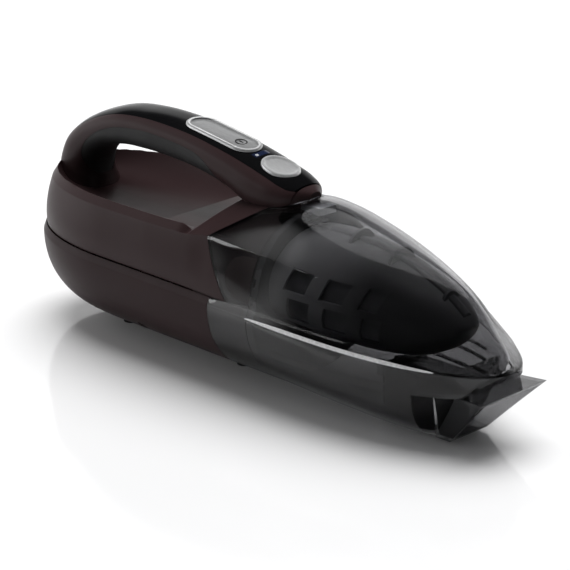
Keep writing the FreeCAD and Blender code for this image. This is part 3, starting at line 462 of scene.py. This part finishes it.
# ------------------------------------------------------------------ mesh tools
def make(name, rings, closed=True):
    """Solid from rings of (x, y, z) in mm, capped at both ends."""
    n = len(rings[0])
    vs = [((x+DX)/1000, y/1000, z/1000) for r in rings for x, y, z in r]
    fs = []
    for i in range(len(rings)-1):
        for j in range(n):
            k = (j+1) % n
            fs.append((i*n+j, i*n+k, (i+1)*n+k, (i+1)*n+j))
    fs.append(tuple(range(n-1, -1, -1)))
    last = (len(rings)-1)*n
    fs.append(tuple(last+j for j in range(n)))
    me = bpy.data.meshes.new(name)
    me.from_pydata(vs, [], fs)
    bm = bmesh.new(); bm.from_mesh(me)
    bmesh.ops.recalc_face_normals(bm, faces=bm.faces)
    bm.to_mesh(me); bm.free()
    o = bpy.data.objects.new(name, me)
    scene.collection.objects.link(o)
    return o
def yz(x, ring): return [(x, y, z) for y, z in ring]
def slab(name, x0, x1, y0, y1, z0, z1):
    return make(name, [[(x0, y0, z0), (x0, y1, z0), (x0, y1, z1), (x0, y0, z1)], [(x1, y0, z0), (x1, y1, z0), (x1, y1, z1), (x1, y0, z1)]])
def prism_y(name, poly, y0, y1):
    return make(name, [[(x, y0, z) for x, z in poly], [(x, y1, z) for x, z in poly]])
def prism_z(name, poly, z0, z1):
    return make(name, [[(x, y, z0) for x, y in poly], [(x, y, z1) for x, y in poly]])
def rod(name, r, c, axis, h, n=40):
    """Cylinder of radius r from point c along axis 'x', 'y' or 'z'."""
    def ring(k):
        out = []
        for i in range(n):
            a = 2*math.pi*i/n
            u, v = r*math.cos(a), r*math.sin(a)
            if axis == 'x': out.append((c[0]+k, c[1]+u, c[2]+v))
            elif axis == 'y': out.append((c[0]+u, c[1]+k, c[2]+v))
            else: out.append((c[0]+u, c[1]+v, c[2]+k))
        return out
    return make(name, [ring(0), ring(h)])
def oblong(x0, x1, hw, n=14, grow=0.0):
    """Outline with round ends along X."""
    r = hw+grow; a, b = x0+hw, x1-hw
    pts = []
    for i in range(n+1):
        t = -math.pi/2+math.pi*i/n
        pts.append((b+r*math.cos(t), r*math.sin(t)))
    for i in range(n+1):
        t = math.pi/2+math.pi*i/n
        pts.append((a+r*math.cos(t), r*math.sin(t)))
    return pts
def kill(*obs):
    for o in obs:
        me = o.data
        bpy.data.objects.remove(o)
        if me.users == 0: bpy.data.meshes.remove(me)
def boolean(o, op, *cutters, keep=False):
    for c in cutters:
        m = o.modifiers.new("b", 'BOOLEAN')
        m.operation, m.object, m.solver = op, c, 'EXACT'
    bpy.context.view_layer.update()
    dg = bpy.context.evaluated_depsgraph_get()
    me = bpy.data.meshes.new_from_object(o.evaluated_get(dg), depsgraph=dg)
    o.modifiers.clear()
    old = o.data; o.data = me
    bpy.data.meshes.remove(old)
    if not keep: kill(*cutters)
    return o
def copy(o, name="tmp"):
    c = o.copy(); c.data = o.data.copy(); c.name = name
    scene.collection.objects.link(c)
    return c
def finish(o, mat, body, nodes, angle=28.0):
    me = o.data
    bm = bmesh.new(); bm.from_mesh(me)
    bmesh.ops.remove_doubles(bm, verts=bm.verts, dist=1e-6)
    bmesh.ops.dissolve_degenerate(bm, edges=bm.edges, dist=1e-6)
    bm.to_mesh(me); bm.free()
    me.materials.clear(); me.materials.append(mat)
    for p in me.polygons: p.use_smooth = True; p.material_index = 0
    me.set_sharp_from_angle(angle=math.radians(angle))
    me.name = o.name
    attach(o, body)
    if nodes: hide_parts(*nodes)
    return o
def stations(a, b, n, ends):
    out = []
    for i in range(n):
        t = i/(n-1)
        if ends == 'rear': t = 1-math.cos(t*math.pi/2)
        if ends == 'front': t = math.sin(t*math.pi/2)
        out.append(a+(b-a)*t)
    return out

SEAM = [(-4.0, -5), (-4.0, 56), (8.5, 57.3), (-12, 90.5), (-9, 93), (13, 109), (31, 119.5), (60, 140)]
# ------------------------------------------------------------------ dust container
def seam_cut(name, shift, ahead=True):
    far = 300 if ahead else -300
    return prism_y(name, [(x+shift, z) for x, z in SEAM]+[(far, 140), (far, -5)], -90, 90)

def build_container():
    xs = [-14, -7]+[0+4*i for i in range(20)]+stations(80, 181, 60, 'front')
    o = make("container_clear", [yz(x, ring_front(x)) for x in xs])
    i_ = make("ci", [yz(x, ring_front(x, 2.2)) for x in [-16, -8]+[0+5*i for i in range(16)]+stations(80, 178.2, 44, 'front')])
    boolean(o, 'DIFFERENCE', prism_y("u1", [(140, -5), (140, 34), (166, 35), (183, 49.5), (200, 49.5), (200, -5)], -80, 80))
    boolean(i_, 'DIFFERENCE', prism_y("u2", [(137.8, -5), (137.8, 36.2), (165, 37.2), (178.5, 48.9), (200, 70), (200, -5)], -80, 80))
    ribs = []
    core = make("rc", [yz(x, ring_front(x, 3.5)) for x in [38+6*i for i in range(17)]])
    for z in (22.0, 30.0, 36.0):
        q = slab("tray_rib", 44, 128, -80, 80, z, z+1.2)
        boolean(q, 'INTERSECT', i_, keep=True)
        boolean(q, 'DIFFERENCE', core, keep=True)
        ribs.append(q)
    kill(core)
    boolean(o, 'DIFFERENCE', i_)
    boolean(o, 'INTERSECT', seam_cut("sc", 0.35))
    hc = make("hc", [arch_ring(a, inset=-0.9) for a in arch_list(60)]+[arch_ring((31.6, 116.6, 29.6, 104.0, 5.0, 0), inset=-0.9)])
    boolean(o, 'DIFFERENCE', hc, slab("dh", 130, 150, -14, 14, 5.4, 33.0))
    return o, ribs

# ------------------------------------------------------------------ lower casing
JZ = 42.0
POST_XY = [(-160.0, 19.0), (-160.0, -19.0), (-78.0, 37.0), (-78.0, -37.0)]
BOSS_XZ = [(-166.0, 70.0), (-84.0, 70.5), (-17.0, 97.0)]
def build_lower():
    o = make("lower_casing", [yz(x, ring_lower(x)) for x in stations(REAR+0.25, -60, 56, 'rear')+[-56+4*i for i in range(13)]+[-4.0]])
    i_ = make("li", [yz(x, ring_lower(x, 2.4, 6.5, 0.2)) for x in stations(REAR+3.2, -60, 44, 'rear')+[-50, -40, -30, -20, -10, -3.0]])
    boolean(o, 'DIFFERENCE', i_)
    boolean(o, 'INTERSECT', slab("lt", -200, 10, -90, 90, -10, 56.95))
    cuts = [rod("jh", 4.45, (-190, 0, JZ), 'x', 20), rod("jh2", 6.65, (-184.5, 0, JZ), 'x', 12.2)]
    for x, y in POST_XY: cuts.append(rod("ph", 3.2, (x, y, -5), 'z', 30))
    for i in range(7):
        x = -58.0+6.0*i
        if x < -60: continue
        for sg in (-1, 1): cuts.append(slab("vs", x, x+2.6, min(sg*8, sg*27), max(sg*8, sg*27), -2, 30))
    return boolean(o, 'DIFFERENCE', *cuts)

# ------------------------------------------------------------------ upper casing and handle
PIVOT = (-22.0, 117.0)
LEVER_TOP = [(-23, 119.2), (-8, 118.0), (1, 116.4), (10, 112.6), (22, 109.2), (26, 108.2), (34.8, 108.2), (34.8, 109.2), (40.5, 109.2)]
LEVER_BOT = [(40.5, 105.2), (24, 105.2), (10, 108.0), (-2, 111.6), (-23, 114.6)]
POCKET = [(-60, 60), (-45.5, 63), (-24, 94), (-10, 114), (-10, 140), (-60, 140)]
TRIM_T, TRIM_W = 3.0, 14.3
TILT = math.radians(7.6)
SLP = (-45.0, 135.2)
def tilted(o):
    """Turn a mesh made about the slide switch's centre into place."""
    c, s = math.cos(TILT), math.sin(TILT)
    for v in o.data.vertices:
        x, z = v.co.x*1000-DX, v.co.z*1000
        v.co.x = (SLP[0]+x*c+z*s+DX)/1000
        v.co.z = (SLP[1]-x*s+z*c)/1000
    return o
def lever_space():
    t = math.tan(math.radians(5.4))
    p = [(-34, 121.5)]+[(x, z+1.2) for x, z in LEVER_TOP]+[(45, 110.4), (45, 98)]+[(x, z-1.2-(x-PIVOT[0])*t) for x, z in LEVER_BOT]+[(-34, 112.5)]
    return prism_y("ls", p, -7.6, 7.6)

def smax(a, b, k):
    h = max(k-abs(a-b), 0.0)/k
    return max(a, b)+h*h*k*0.25
def smin(a, b, k): return -smax(-a, -b, k)
def pocket_front(x):
    """Height of the slope that closes the hand pocket at the front."""
    if x < -24: return 63+(x+45.5)*31/21.5
    return 94+(x+24)*20/14
def top_z(x, y, off=0.0):
    ws = w_sh(x)-off
    zs, zt = z_sh(x)-0.3*off, z_top(x)-off
    u = min(1.0, abs(y)/ws)
    hood = zs+(zt-zs)*(1-u**1.9)
    band = min(4.4, 0.35*ws)
    wi, zi = max(ws-band, 0.3), zs+4.4-1.2*off
    zv = z_valley(x)-off
    if abs(y) > wi: rear = zs+(zi-zs)*(ws-abs(y))/band
    else: rear = zv+(zi-zv)*(abs(y)/wi)**3.2
    if x > -58:
        rear -= 14.0*step(-36, -8, x)
        front = smin(hood, pocket_front(x-(0.0 if off == 0 else 2.9)), 3.0)
        return max(smax(rear, front, 2.4), zs-0.5)
    return rear
def ring_upper(x, off=0.0, base=57.1, y0=0.0, r=1.0, n=44):
    k = 3.0 if x < -30 else 3.0-0.6*min(1.0, (x+30)/25.0)
    wa = max(w_ledge(x)-k-off, 0.5)
    ws = max(w_sh(x)-off, 0.5)
    zs = z_sh(x)-0.3*off
    bul = 2.6*min(1.0, ws/30.0)
    h = [(y0, base)]+[(wa*i/6, base) for i in range(1, 7)]
    k0 = len(h)-1
    h += wall(wa, base, ws, zs, bul, 20); k1 = len(h)-1
    ys = [ws*(1-(i/n)**1.35) for i in range(1, n)]
    h += [(y, top_z(x, y, off)) for y in ys]
    h.append((y0, top_z(x, 0.0, off)))
    s = soften(h[:k1+2], {k0, k1}, r)
    return s[:-1]+h[k1+1:]
def mirrored(o, name):
    c = copy(o, name)
    for v in c.data.vertices: v.co.y = -v.co.y
    c.data.flip_normals()
    return c

def sec_y(o, a):
    L = arch_h(o); hh = L/2
    e = 2.5 if a > hh else 2.2
    return o[4]*max(0.0, 1-abs((a-hh)/hh)**e)**(1/e)
def outline_pts(o, a0, a1, n):
    """Points of the arch section's right side from height a0 to a1, evenly spread by angle."""
    L = arch_h(o); hh = L/2
    def ang(a):
        q = max(-1.0, min(1.0, (a-hh)/hh))
        e = 2.5 if q > 0 else 2.2
        return math.asin(math.copysign(abs(q)**(e/2), q))
    t0, t1 = ang(a0), ang(a1)
    out = []
    for i in range(n):
        t = t0+(t1-t0)*i/(n-1)
        s, c = math.sin(t), math.cos(t)
        e = 2.5 if s > 0 else 2.2
        out.append((o[4]*max(0.0, c)**(2/e), hh+hh*math.copysign(abs(s)**(2/e), s)))
    return out
def place(o, pts, sg=1):
    ox, oz, ix, iz = o[:4]
    L = arch_h(o); ax, az = (ox-ix)/L, (oz-iz)/L
    return [(ix+ax*a, sg*y, iz+az*a) for y, a in pts]
def strip_half(o, t):
    """Half width of the black strip; it starts in a rounded point at the rear."""
    w = min(TRIM_W, o[4]-3.2)
    lead = min(1.0, max(0.0, (t-_T[1])/16.0))
    return max(0.4, w*math.sqrt(max(0.0, 1-(1-lead)**2)))
def grip_share(o, t):
    if t < _T[1] or t > _T[9]: return 0.0
    s = o[5]
    tail = min(1.0, (_T[9]-t)/30.0)
    return max(0.0, s)*(1-(1-tail)**2)**0.8
def core_w(o, t):
    if t < _T[1]+1 or t > _T[12]-1: return 0.03
    return min(11.0, o[4]-6.5)
def band_ring(o, t, sg):
    L = arch_h(o)
    ag = L*grip_share(o, t)
    cw = core_w(o, t)
    lo, hi = 7.0, max(8.0, L-TRIM_T-2.2)
    sw = strip_half(o, t) if _T[1] < t < _T[12] else 0.02
    dep = TRIM_T if _T[1] < t < _T[12] else 0.02
    af = L-dep
    ye = min(sw, sec_y(o, af))
    # height at which the outline is as wide as the strip
    hh = L/2
    at = hh+hh*max(0.0, 1-(ye/o[4])**2.5)**(1/2.5)
    at = max(at, af)
    P = []
    if ag >= lo: P += [(cw, ag)]
    else: P += [(0.0, ag)]
    P += outline_pts(o, ag, at, 34)
    P += [(ye, af)]
    P += [(ye*0.5, af), (0.0, af), (0.0, hi), (cw, hi)]
    P += [(cw, ag), (cw, ag)] if ag >= lo else [(cw, lo), (0.0, lo)]
    return place(o, P, sg)
def strip_ring(o, t):
    L = arch_h(o); hh = L/2
    af = L-TRIM_T
    ye = min(strip_half(o, t), sec_y(o, af+0.02))
    at = max(hh+hh*max(0.0, 1-(ye/o[4])**2.5)**(1/2.5), af+0.02)
    up = outline_pts(o, at, L, 22)
    half = [(0.0, af+0.05), (ye*0.5, af+0.05), (max(ye-0.35, 0.05), af+0.05)]+[(max(up[0][0]-0.12, 0.05), up[0][1])]+up[1:-1]+[(0.0, L)]
    r = half+[(-y, a) for y, a in half[-2:0:-1]]
    return place(o, r)
def grip_ring(o, t):
    L = arch_h(o)
    ag = max(L*grip_share(o, t), 0.05)
    cw = core_w(o, t)
    lo = 7.0
    out = outline_pts(o, 0.0, ag, 26)
    e = 0.30
    top = [(max(out[-1][0]-e, 0.02), ag)]
    half = out[:-1]+[(out[-1][0], max(ag-e, 0.02))]+top
    if ag > lo: half += [(cw, ag), (cw, lo), (0.0, lo)]
    else: half += [(half[-1][0]*0.6, ag), (half[-1][0]*0.3, ag), (0.0, ag)]
    r = half+[(-y, a) for y, a in half[-2:0:-1]]
    return place(o, r)

def build_upper():
    xs = stations(-179.6, -62, 58, 'rear')+[-60+1.5*i for i in range(9)]+[-46+1.0*i for i in range(43)]+[-2+3*i for i in range(16)]
    right = make("upper_right", [[(x, -max(y, 0.02), z) for y, z in ring_upper(x)] for x in xs])
    ri = make("ri", [[(x, -y, z) for y, z in ring_upper(x, 2.4, 55.0, -1.0, 0.4, 24)] for x in stations(-176.0, -62, 30, 'rear')+[-58+3*i for i in range(17)]+[0, 12, 24, 36, 47]])
    boolean(right, 'DIFFERENCE', seam_cut("sc", 0.0))
    boolean(right, 'DIFFERENCE', ri, lever_space())
    left = mirrored(right, "upper_left")
    boolean(left, 'DIFFERENCE', *[rod("sh", 2.9, (x, 28, z), 'y', 60, 28) for x, z in BOSS_XZ])
    ts = [_T[-1]*i/179 for i in range(180)]
    ts = sorted(ts+[_T[1]+0.01, _T[12]-0.01, _T[9]-0.01, _T[1]+0.5, _T[1]+1.5])
    band = make("band_right", [band_ring(arch_at(t), t, -1) for t in ts])
    btn = prism_z("bh", oblong(-10, 14, 10.8, grow=0.4), 110, 145)
    stem = tilted(slab("st", -9.0, 15.0, -3.6, 3.6, -12, 2))
    lens = slab("ln", -16.6, -12.2, -6.0, 6.0, 112, 140)
    boolean(band, 'DIFFERENCE', lever_space(), copy(btn), copy(stem), copy(lens))
    band_l = mirrored(band, "band_left")
    st = [t for t in ts if _T[1]+0.3 < t < _T[12]-0.05]
    strip = make("handle_strip", [strip_ring(arch_at(t), t) for t in st])
    rec = tilted(prism_z("rc", oblong(-28.0, 34.0, 10.5, grow=0.4), -1.9, 12))
    boolean(strip, 'DIFFERENCE', rec, btn, stem, lens)
    gt = [_T[1]+0.3+(_T[9]-_T[1]-0.32)*i/129 for i in range(130)]
    gt = gt[:-3]+[_T[9]-2.2, _T[9]-1.2, _T[9]-0.5, _T[9]-0.1]
    grip = make("soft_grip", [grip_ring(arch_at(t), t) for t in gt])
    return right, left, band, band_l, strip, grip

# ------------------------------------------------------------------ slide switch and button
def dished(name, outline, rows, top, base):
    """Cap from concentric outlines: outline(d) gives the points at inset d, rows are (d, drop), top(x, y) the surface."""
    rings = []
    o0 = outline(0.0)
    rings.append([(x, y, base(x, y)) for x, y in o0])
    for d, drop in rows:
        rings.append([(x, y, top(x, y)-drop(x, y) if callable(drop) else top(x, y)-drop) for x, y in outline(d)])
    return make(name, rings)

def build_slider():
    def outline(d): return oblong(-28+d, 28-d, 10.5-d, 18)
    def top(x, y): return 0.95-1.45*(x/28.0)**2-0.55*(abs(y)/10.5)**2.4
    def floor_drop(x, y):
        a = 1.0
        # thumb scoop at the rear, ridge in the middle, flat pad with the mark at the front
        a += 0.55*math.exp(-((x+12.0)/7.5)**2)
        a -= 0.75*math.exp(-((x-1.5)/1.3)**2)*max(0.0, 1-(abs(y)/5.5)**4)
        return a
    rows = [(0.0, 0.9), (0.12, 0.45), (0.4, 0.12), (0.8, 0.0), (1.5, 0.0), (1.9, 0.12), (2.15, 0.5), (2.35, 0.85), (2.7, lambda x, y: 1.0+0*x)]
    for i in range(22):
        rows.append((3.0+i*0.335, floor_drop))
    o = dished("slide_cap", outline, rows, top, lambda x, y: -1.5)
    return tilted(o), top, floor_drop

def build_button():
    def outline(d): return oblong(-10+d, 14-d, 10.8-d, 20)
    def top(x, y): return 129.5-0.2393*(x+12)-0.35*((abs(y))/10.8)**2.2
    rows = [(0.0, 1.1), (0.15, 0.5), (0.5, 0.12), (1.0, 0.0), (1.8, 0.05), (2.3, 0.35), (2.7, 0.75)]
    for i in range(14):
        d = 3.1+i*0.55
        rows.append((d, 0.85+0.35*(1-((10.8-d)/8.0)**2)))
    o = dished("release_cap", outline, rows, top, lambda x, y: 118.4-0.11*(x-2))
    post = slab("bp", -0.5, 2.5, -3.0, 3.0, 117.0, 121.0)
    return boolean(o, 'UNION', post)

# ------------------------------------------------------------------ filter
B_TOP = [(31, 96.5), (45, 97.8), (60, 98.0), (80, 96.8), (100, 93.2), (120, 87.2), (130, 83.2), (140, 77.6), (148, 71.8), (152, 67.5)]
B_BOT = [(31, 40.0), (60, 38.6), (90, 38.6), (117, 42.0), (135, 49.0), (145, 56.0), (152, 66.5)]
def bullet(x, off=0.0, n=36):
    zt, zb = tab(B_TOP, x)-off, tab(B_BOT, x)+off
    w = max(max(38.5*sup((x-31.0)/121.0, 1.95), 0.6)-off, 0.3)
    if zt-zb < 0.6: zt, zb = (zt+zb)/2+0.3, (zt+zb)/2-0.3
    zm = zb+(zt-zb)*0.46
    out = []
    for sg in (1, -1):
        h = (zt-zm) if sg > 0 else (zm-zb)
        for i in range(n):
            t = math.pi*i/n
            out.append((x, w*math.cos(t)*sg, zm+sg*h*abs(math.sin(t))**0.92))
    return out
def build_basket():
    o = make("basket", [bullet(x) for x in stations(31.3, 151.6, 70, 'front')])
    i_ = make("bi", [bullet(x, 1.6) for x in [30.5]+stations(33.0, 149.9, 50, 'front')])
    boolean(o, 'DIFFERENCE', i_)
    cuts = []
    for x0, x1 in ((42, 62), (68, 88), (94, 110)):
        for sg in (-1, 1):
            for za, zb in ((52.0, 66.0), (70.0, 82.0)):
                y0, y1 = (6.0, 60.0) if sg > 0 else (-60.0, -6.0)
                cuts.append(prism_y("w", [(x0, za), (x1-4, za), (x1, zb), (x0+4, zb)], y0, y1))
    boolean(o, 'DIFFERENCE', *cuts)
    inner = make("bi2", [bullet(x, 1.5) for x in [30.5]+stations(33.0, 149.9, 40, 'front')])
    sp = make("sp", [arch_ring((x, tab(B_TOP, x)+1.6, x, tab(B_TOP, x)-4.5, 3.2, 0), 10) for x in [34+3*i for i in range(38)]+[147.5]])
    adds = [sp]
    for xl, r in ((66.0, 11.0), (97.0, 11.5), (134.0, 6.5)):
        zt = tab(B_TOP, xl)
        d = rod("lug", r, (xl, 0, zt-r*0.55), 'x', 2.0, 56)
        boolean(d, 'INTERSECT', slab("lb", xl-1, xl+3, -40, 40, zt-6, zt+r))
        adds.append(d)
    for a in adds: boolean(a, 'DIFFERENCE', inner, keep=True)
    kill(inner)
    boolean(o, 'UNION', *adds)
    ls = lever_space()
    boolean(ls, 'INTERSECT', slab("lx", 20, 46, -8, 8, 90, 120))
    boolean(o, 'DIFFERENCE', slab("be", 0, 31.25, -90, 90, 0, 130), ls)
    return o

# ------------------------------------------------------------------ pieces in place of the coarse CAD meshes
c_, ribs_ = build_container()
for r_ in ribs_: finish(r_, M["smoke_clear"], "container", ["container_shell"])
finish(c_, M["smoke_clear"], "container", ["container_shell"])
finish(build_lower(), M["lower_brown"], "body", ["lower_housing"])
ur, ul, br, bl, strip_, grip_ = build_upper()
finish(ur, M["casing_brown"], "body", ["housing_right"])
finish(ul, M["casing_brown"], "body", ["housing_left"])
finish(br, M["casing_brown"], "body", ["housing_right"])
finish(bl, M["casing_brown"], "body", ["housing_left"])
finish(strip_, M["trim_black"], "body", ["handle_top_trim"], 40)
finish(grip_, M["grip_black"], "body", ["handle_grip"], 40)
# pale raised joint where the hood joins the tray, thickest in the middle of the side; its pale colour is a painted
# highlight line
def build_flange(sg):
    rows = []
    for i in range(60):
        x = 27.0+(152.0-27.0)*i/59
        q = math.sin(math.pi*i/59)**0.5 if 0 < i < 59 else 0.0
        h = 0.15+1.85*min(1.0, 1.25*q)
        a, z = w_ledge(x), z_ledge(x)+0.15
        rows.append([(x, sg*(a-0.9), z-0.5*h), (x, sg*(a-0.25), z-0.62*h), (x, sg*(a+0.10), z-0.35*h), (x, sg*(a+0.10), z+0.25*h), (x, sg*(a-0.30), z+0.75*h), (x, sg*(a-0.9), z+0.6*h)])
    return make("joint_flange", rows)
for sg_ in (-1, 1): finish(build_flange(sg_), M["flange"], "container", ["container_shell"], 40)

# marks: a power sign on the switch, a charge sign behind the button
def ring_flat(name, cx, cy, r0, r1, a0, a1, zf, th=0.05, n=40):
    rows = []
    for i in range(n+1):
        a = a0+(a1-a0)*i/n
        c, s_ = math.cos(a), math.sin(a)
        pi_, po = (cx+r0*c, cy+r0*s_), (cx+r1*c, cy+r1*s_)
        rows.append([(pi_[0], pi_[1], zf(*pi_)-0.2), (po[0], po[1], zf(*po)-0.2), (po[0], po[1], zf(*po)+th), (pi_[0], pi_[1], zf(*pi_)+th)])
    return make(name, rows)
def bar_flat(name, x0, y0, x1, y1, w_, zf, th=0.05, n=6):
    rows = []
    L_ = math.hypot(x1-x0, y1-y0); nx, ny = -(y1-y0)/L_*w_/2, (x1-x0)/L_*w_/2
    for i in range(n+1):
        x, y = x0+(x1-x0)*i/n, y0+(y1-y0)*i/n
        p_, q_ = (x+nx, y+ny), (x-nx, y-ny)
        rows.append([(p_[0], p_[1], zf(*p_)-0.2), (q_[0], q_[1], zf(*q_)-0.2), (q_[0], q_[1], zf(*q_)+th), (p_[0], p_[1], zf(*p_)+th)])
    return make(name, rows)
cap_, top_, drop_ = build_slider()
zc = lambda x, y: top_(x, y)-drop_(x, y)
# bright raised rim round the switch
def build_rim():
    o_ = [oblong(-28+d, 28-d, 10.5-d, 18) for d in (0.7, 2.3)]
    n_ = len(o_[0])
    rows = []
    for i in range(n_+1):
        (xa, ya), (xb, yb) = o_[0][i % n_], o_[1][i % n_]
        xm, ym = (xa+xb)/2, (ya+yb)/2
        rows.append([(xa, ya, top_(xa, ya)-0.30), (xa, ya, top_(xa, ya)-0.06), (xm, ym, top_(xm, ym)+0.03), (xb, yb, top_(xb, yb)-0.06), (xb, yb, top_(xb, yb)-0.45)])
    return make("switch_rim", rows)
finish(tilted(build_rim()), M["rim_bright"], "power_switch", ["power_slider"], 50)
for q_ in (ring_flat("power_mark", 14.5, 0, 3.0, 3.7, 0, 2*math.pi, zc), bar_flat("power_mark_bar", 13.0, 0, 16.0, 0, 0.7, zc)):
    finish(tilted(q_), M["mark_dark"], "power_switch", ["power_slider"], 40)
finish(cap_, M["silver"], "power_switch", ["power_slider"], 50)
# the release button gets the paler silver copy, a painted highlight
finish(build_button(), M["silver_light"], "release", ["release_button"], 50)
def strip_z(x, y):
    """Height of the handle's top near the button."""
    for i in range(len(ARCH)-1):
        a, b = ARCH[i], ARCH[i+1]
        if a[0] <= x <= b[0]:
            zz = a[1]+(b[1]-a[1])*(x-a[0])/(b[0]-a[0])
            return zz-0.55*(abs(y)/14.3)**2.5*3.0-0.02
    return 126.0
for q_ in (bar_flat("charge_mark_a", -14.9, -4.2, -14.9, 1.2, 0.42, strip_z), bar_flat("charge_mark_b", -13.4, -4.2, -13.4, 1.2, 0.42, strip_z),
           bar_flat("charge_mark_c", -14.9, -4.2, -13.4, -4.2, 0.42, strip_z), bar_flat("charge_mark_d", -14.9, 1.2, -13.4, 1.2, 0.42, strip_z),
           bar_flat("charge_mark_e", -14.15, 1.9, -14.15, 3.9, 0.7, strip_z), bar_flat("charge_mark_f", -14.15, -3.4, -14.15, -0.8, 0.9, strip_z)):
    finish(q_, M["mark_white"], "body", ["handle_top_trim"], 40)
finish(build_basket(), M["basket"], "filter", ["filter_basket"])

# ------------------------------------------------------------------ floor, world, lights
def floor():
    bm = bmesh.new()
    n, r = 64, 9.0
    vs = [bm.verts.new((r*math.cos(2*math.pi*i/n), r*math.sin(2*math.pi*i/n), 0)) for i in range(n)]
    bm.faces.new(vs)
    me = bpy.data.meshes.new("floor"); bm.to_mesh(me); bm.free()
    o = bpy.data.objects.new("floor", me)
    scene.collection.objects.link(o)
    k = Mat("m_floor")
    k.p.inputs["Base Color"].default_value = (0.86, 0.86, 0.865, 1)
    v = k.coords()
    k.l(k.ramp(k.noise(v, 3.0, 2.0), 0.3, 0.7, 0.085, 0.10), k.p.inputs["Roughness"])
    k.set(IOR=1.45)
    me.materials.append(k.m)
    o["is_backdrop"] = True
floor()

# pale backdrop low down behind the object, dim room above it and behind the camera
w = bpy.data.worlds.new("studio")
scene.world = w
w.use_nodes = True
t = w.node_tree
t.nodes.clear()
def wn(kind, **kw):
    x = t.nodes.new(kind)
    for k, v in kw.items(): setattr(x, k, v)
    return x
tc = wn("ShaderNodeTexCoord")
sx = wn("ShaderNodeSeparateXYZ")
t.links.new(tc.outputs["Generated"], sx.inputs[0])
dt = wn("ShaderNodeVectorMath", operation='DOT_PRODUCT')
dt.inputs[1].default_value = (-0.707, 0.707, 0.0)
t.links.new(tc.outputs["Generated"], dt.inputs[0])
def wramp(src, lo, hi, a, b):
    m = wn("ShaderNodeMapRange", interpolation_type='SMOOTHSTEP')
    for k, v in (("From Min", lo), ("From Max", hi), ("To Min", a), ("To Max", b)): m.inputs[k].default_value = v
    t.links.new(src, m.inputs["Value"])
    return m.outputs[0]
low = wramp(sx.outputs["Z"], 0.39, 0.49, 1.0, 0.0)
back = wramp(dt.outputs["Value"], -0.2, 0.6, 0.0, 1.0)
mu = wn("ShaderNodeMath", operation='MULTIPLY')
t.links.new(low, mu.inputs[0]); t.links.new(back, mu.inputs[1])
ma = wn("ShaderNodeMath", operation='MULTIPLY_ADD')
ma.inputs[1].default_value = 1.15
t.links.new(mu.outputs[0], ma.inputs[0])
# a large weak softbox on the camera's left
db = wn("ShaderNodeVectorMath", operation='DOT_PRODUCT')
db.inputs[1].default_value = Vector((-0.81, -0.57, 0.12)).normalized()
t.links.new(tc.outputs["Generated"], db.inputs[0])
# and a smaller one higher up, which lights the shoulder
dc = wn("ShaderNodeVectorMath", operation='DOT_PRODUCT')
dc.inputs[1].default_value = Vector((-0.67, -0.35, 0.64)).normalized()
t.links.new(tc.outputs["Generated"], dc.inputs[0])
mb = wn("ShaderNodeMath", operation='ADD')
t.links.new(wramp(db.outputs["Value"], 0.91, 0.99, 0.015, 2.2), mb.inputs[0])
t.links.new(wramp(dc.outputs["Value"], 0.95, 0.995, 0.0, 1.2), mb.inputs[1])
t.links.new(mb.outputs[0], ma.inputs[2])
bg = wn("ShaderNodeBackground")
wo = wn("ShaderNodeOutputWorld")
t.links.new(ma.outputs[0], bg.inputs["Strength"])
bg.inputs["Color"].default_value = (1, 1, 1, 1)
t.links.new(bg.outputs[0], wo.inputs["Surface"])

def area(name, loc, target, sx, sy, power, color=(1, 1, 1)):
    d = bpy.data.lights.new(name, 'AREA')
    d.shape = 'RECTANGLE'; d.size, d.size_y = sx, sy
    d.energy = power; d.color = color
    o = bpy.data.objects.new(name, d)
    o.location = loc
    scene.collection.objects.link(o)
    aim(o, target)
    return o

sun = bpy.data.lights.new("overhead", 'SUN')
sun.energy, sun.angle = 3.65, math.radians(57)
so = bpy.data.objects.new("overhead", sun)
so.location = (-0.60, 0.80, 2.6)
scene.collection.objects.link(so)
so.visible_glossy = False
aim(so, (0, 0, 0))
def strip_lamp(name, p1, p2, width, power, target=(0.03, -0.05, 0.055)):
    """Long narrow lamp from p1 to p2 that faces the target."""
    p1, p2, tg = Vector(p1), Vector(p2), Vector(target)
    c = (p1+p2)/2
    x = (p2-p1).normalized()
    z = (c-tg).normalized()
    y = z.cross(x).normalized()
    z = x.cross(y).normalized()
    d = bpy.data.lights.new(name, 'AREA')
    d.shape = 'RECTANGLE'; d.size, d.size_y = (p2-p1).length, width
    d.energy = power
    o = bpy.data.objects.new(name, d)
    o.matrix_world = Matrix((x, y, z)).transposed().to_4x4()
    o.location = c
    scene.collection.objects.link(o)
strip_lamp("side_left", (-1.42, -1.16, 0.60), (-0.55, -1.53, 0.84), 0.12, 2.2)
area("front_right", (1.5, -0.5, 0.9), (0.1, 0, 0.07), 0.5, 0.9, 0.5)

SIZE1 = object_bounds()
{"cad": json.loads(json.dumps(SIZE0, default=lambda v: list(v))), "visual": json.loads(json.dumps(SIZE1, default=lambda v: list(v)))}
